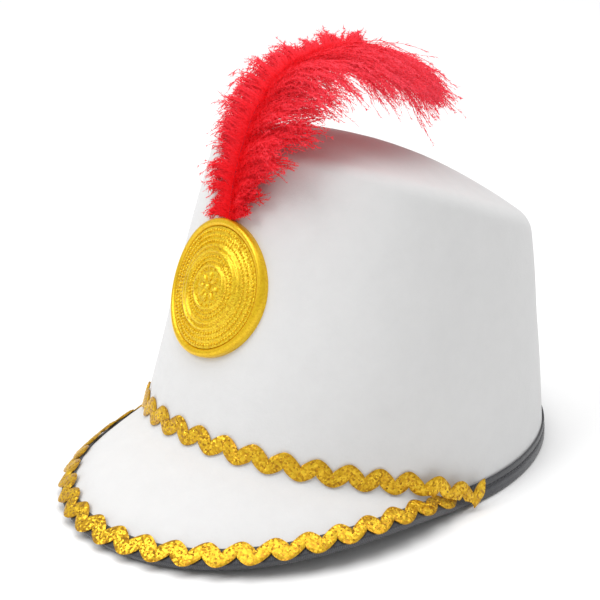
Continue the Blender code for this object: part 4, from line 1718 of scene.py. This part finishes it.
@dataclass
class Studio:
    """A pale floor, soft lights and the camera."""

    form: HatForm
    azimuth: float = math.radians(45.94)
    elevation: float = math.radians(20.66)
    distance: float = 0.68676
    focal_px: float = 1510.0
    image_px: float = 600.0
    sensor_mm: float = 36.0
    aim_right: float = -0.01917
    aim_up: float = 0.06369
    floor_size: float = 12.0
    lights: tuple = (("key", (-0.5, -1.6, 1.9), 1.2, 24.0), ("overhead", (0.0, 0.2, 2.6), 2.6, 52.0))
    lights_aim: tuple = (0.0, 0.0, 0.08)
    surroundings: float = 0.5

    def camera(self) -> None:
        """Creates the camera at the photograph's angle."""
        a, e = self.azimuth, self.elevation
        back = Vector((math.sin(a) * math.cos(e), -math.cos(a) * math.cos(e), math.sin(e)))
        right = Vector((math.cos(a), math.sin(a), 0))
        up = back.cross(right)
        aim = right * self.aim_right + up * self.aim_up + Vector((0, self.form.centre_y, 0))
        data = bpy.data.cameras.new("photo_camera")
        data.sensor_width = self.sensor_mm
        data.lens = self.focal_px * self.sensor_mm / self.image_px
        data.clip_start = 0.05
        camera = bpy.data.objects.new("photo_camera", data)
        camera.matrix_world = Matrix.Translation(aim + back * self.distance) @ Matrix((
            (right.x, up.x, back.x, 0), (right.y, up.y, back.y, 0), (right.z, up.z, back.z, 0), (0, 0, 0, 1),
        ))
        bpy.context.scene.collection.objects.link(camera)
        bpy.context.scene.camera = camera

    def light(self, name: str, place: tuple, size: float, power: float) -> None:
        """Adds a square soft light that faces the hat.

        Args:
            name: the light's name.
            place: its place.
            size: its side in metres.
            power: its power in watts.
        """
        data = bpy.data.lights.new(name, "AREA")
        data.size = size
        data.energy = power
        lamp = bpy.data.objects.new(name, data)
        lamp.location = place
        lamp.rotation_euler = (Vector(self.lights_aim) - Vector(place)).to_track_quat("-Z", "Y").to_euler()
        bpy.context.scene.collection.objects.link(lamp)

    def floor(self) -> None:
        """A plain pale floor."""
        deselect()
        bpy.ops.mesh.primitive_plane_add(size=self.floor_size, location=(0, 0, 0))
        floor = bpy.context.active_object
        floor.name = "studio_floor"
        material, tree, shader = new_finish("pale_floor")
        set_inputs(tree, shader, {"Base Color": linear("#F7F7F7"), "Roughness": 0.9})
        floor.data.materials.append(material)

    def build(self) -> None:
        """Sets the camera, the floor, the lights and the surroundings."""
        self.camera()
        self.floor()
        for name, place, size, power in self.lights:
            self.light(name, place, size, power)
        world = bpy.data.worlds.new("studio")
        world.use_nodes = True
        tree = world.node_tree
        set_inputs(tree, tree.nodes["Background"], {
            "Color": linear("#FFFFFF"), "Strength": self.surroundings,
        })
        bpy.context.scene.world = world
        bpy.context.scene.view_settings.view_transform = "Standard"


def main() -> None:
    """Builds the hat round its frame, with its floor, lights and camera."""
    logging.basicConfig(level=logging.INFO, format="%(name)s: %(message)s")
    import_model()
    form = HatForm()
    Studio(form).build()
    FeltBody(form).build(MouldedFelt())
    EdgeBinding(form).build(GrosgrainTape())
    # The braid's glitter is darkened towards its edges as painted shade.
    braid_gold = Glitter(
        "lurex_ricrac", "#F6CC30", "#D6A214", "#AA760E",
        flake_mm=0.8, turn=0.55, metallic=0.6, roughness=0.36, painted_edge_shade=0.45,
    )
    Braids(form, RicRac(form)).build(braid_gold)
    medallion = Medallion(form)
    medallion.build(
        Glitter(
            "glitter_plastic", "#F8DC34", "#E8BE0E", "#CC9A06",
            flake_mm=0.45, turn=0.3, metallic=0.45, roughness=0.32,
        ),
        Glitter(
            "smooth_plastic", "#F0C81E", "#E8BC10", "#DEAE0A",
            flake_mm=0.6, turn=0.06, metallic=0.45, roughness=0.3,
        ),
    )
    Plume(form, medallion).build(OstrichDown(), OstrichDown("ostrich_quill", "#A8081A", "#B8182A", glow=0.0))


if __name__ == "__main__":
    main()
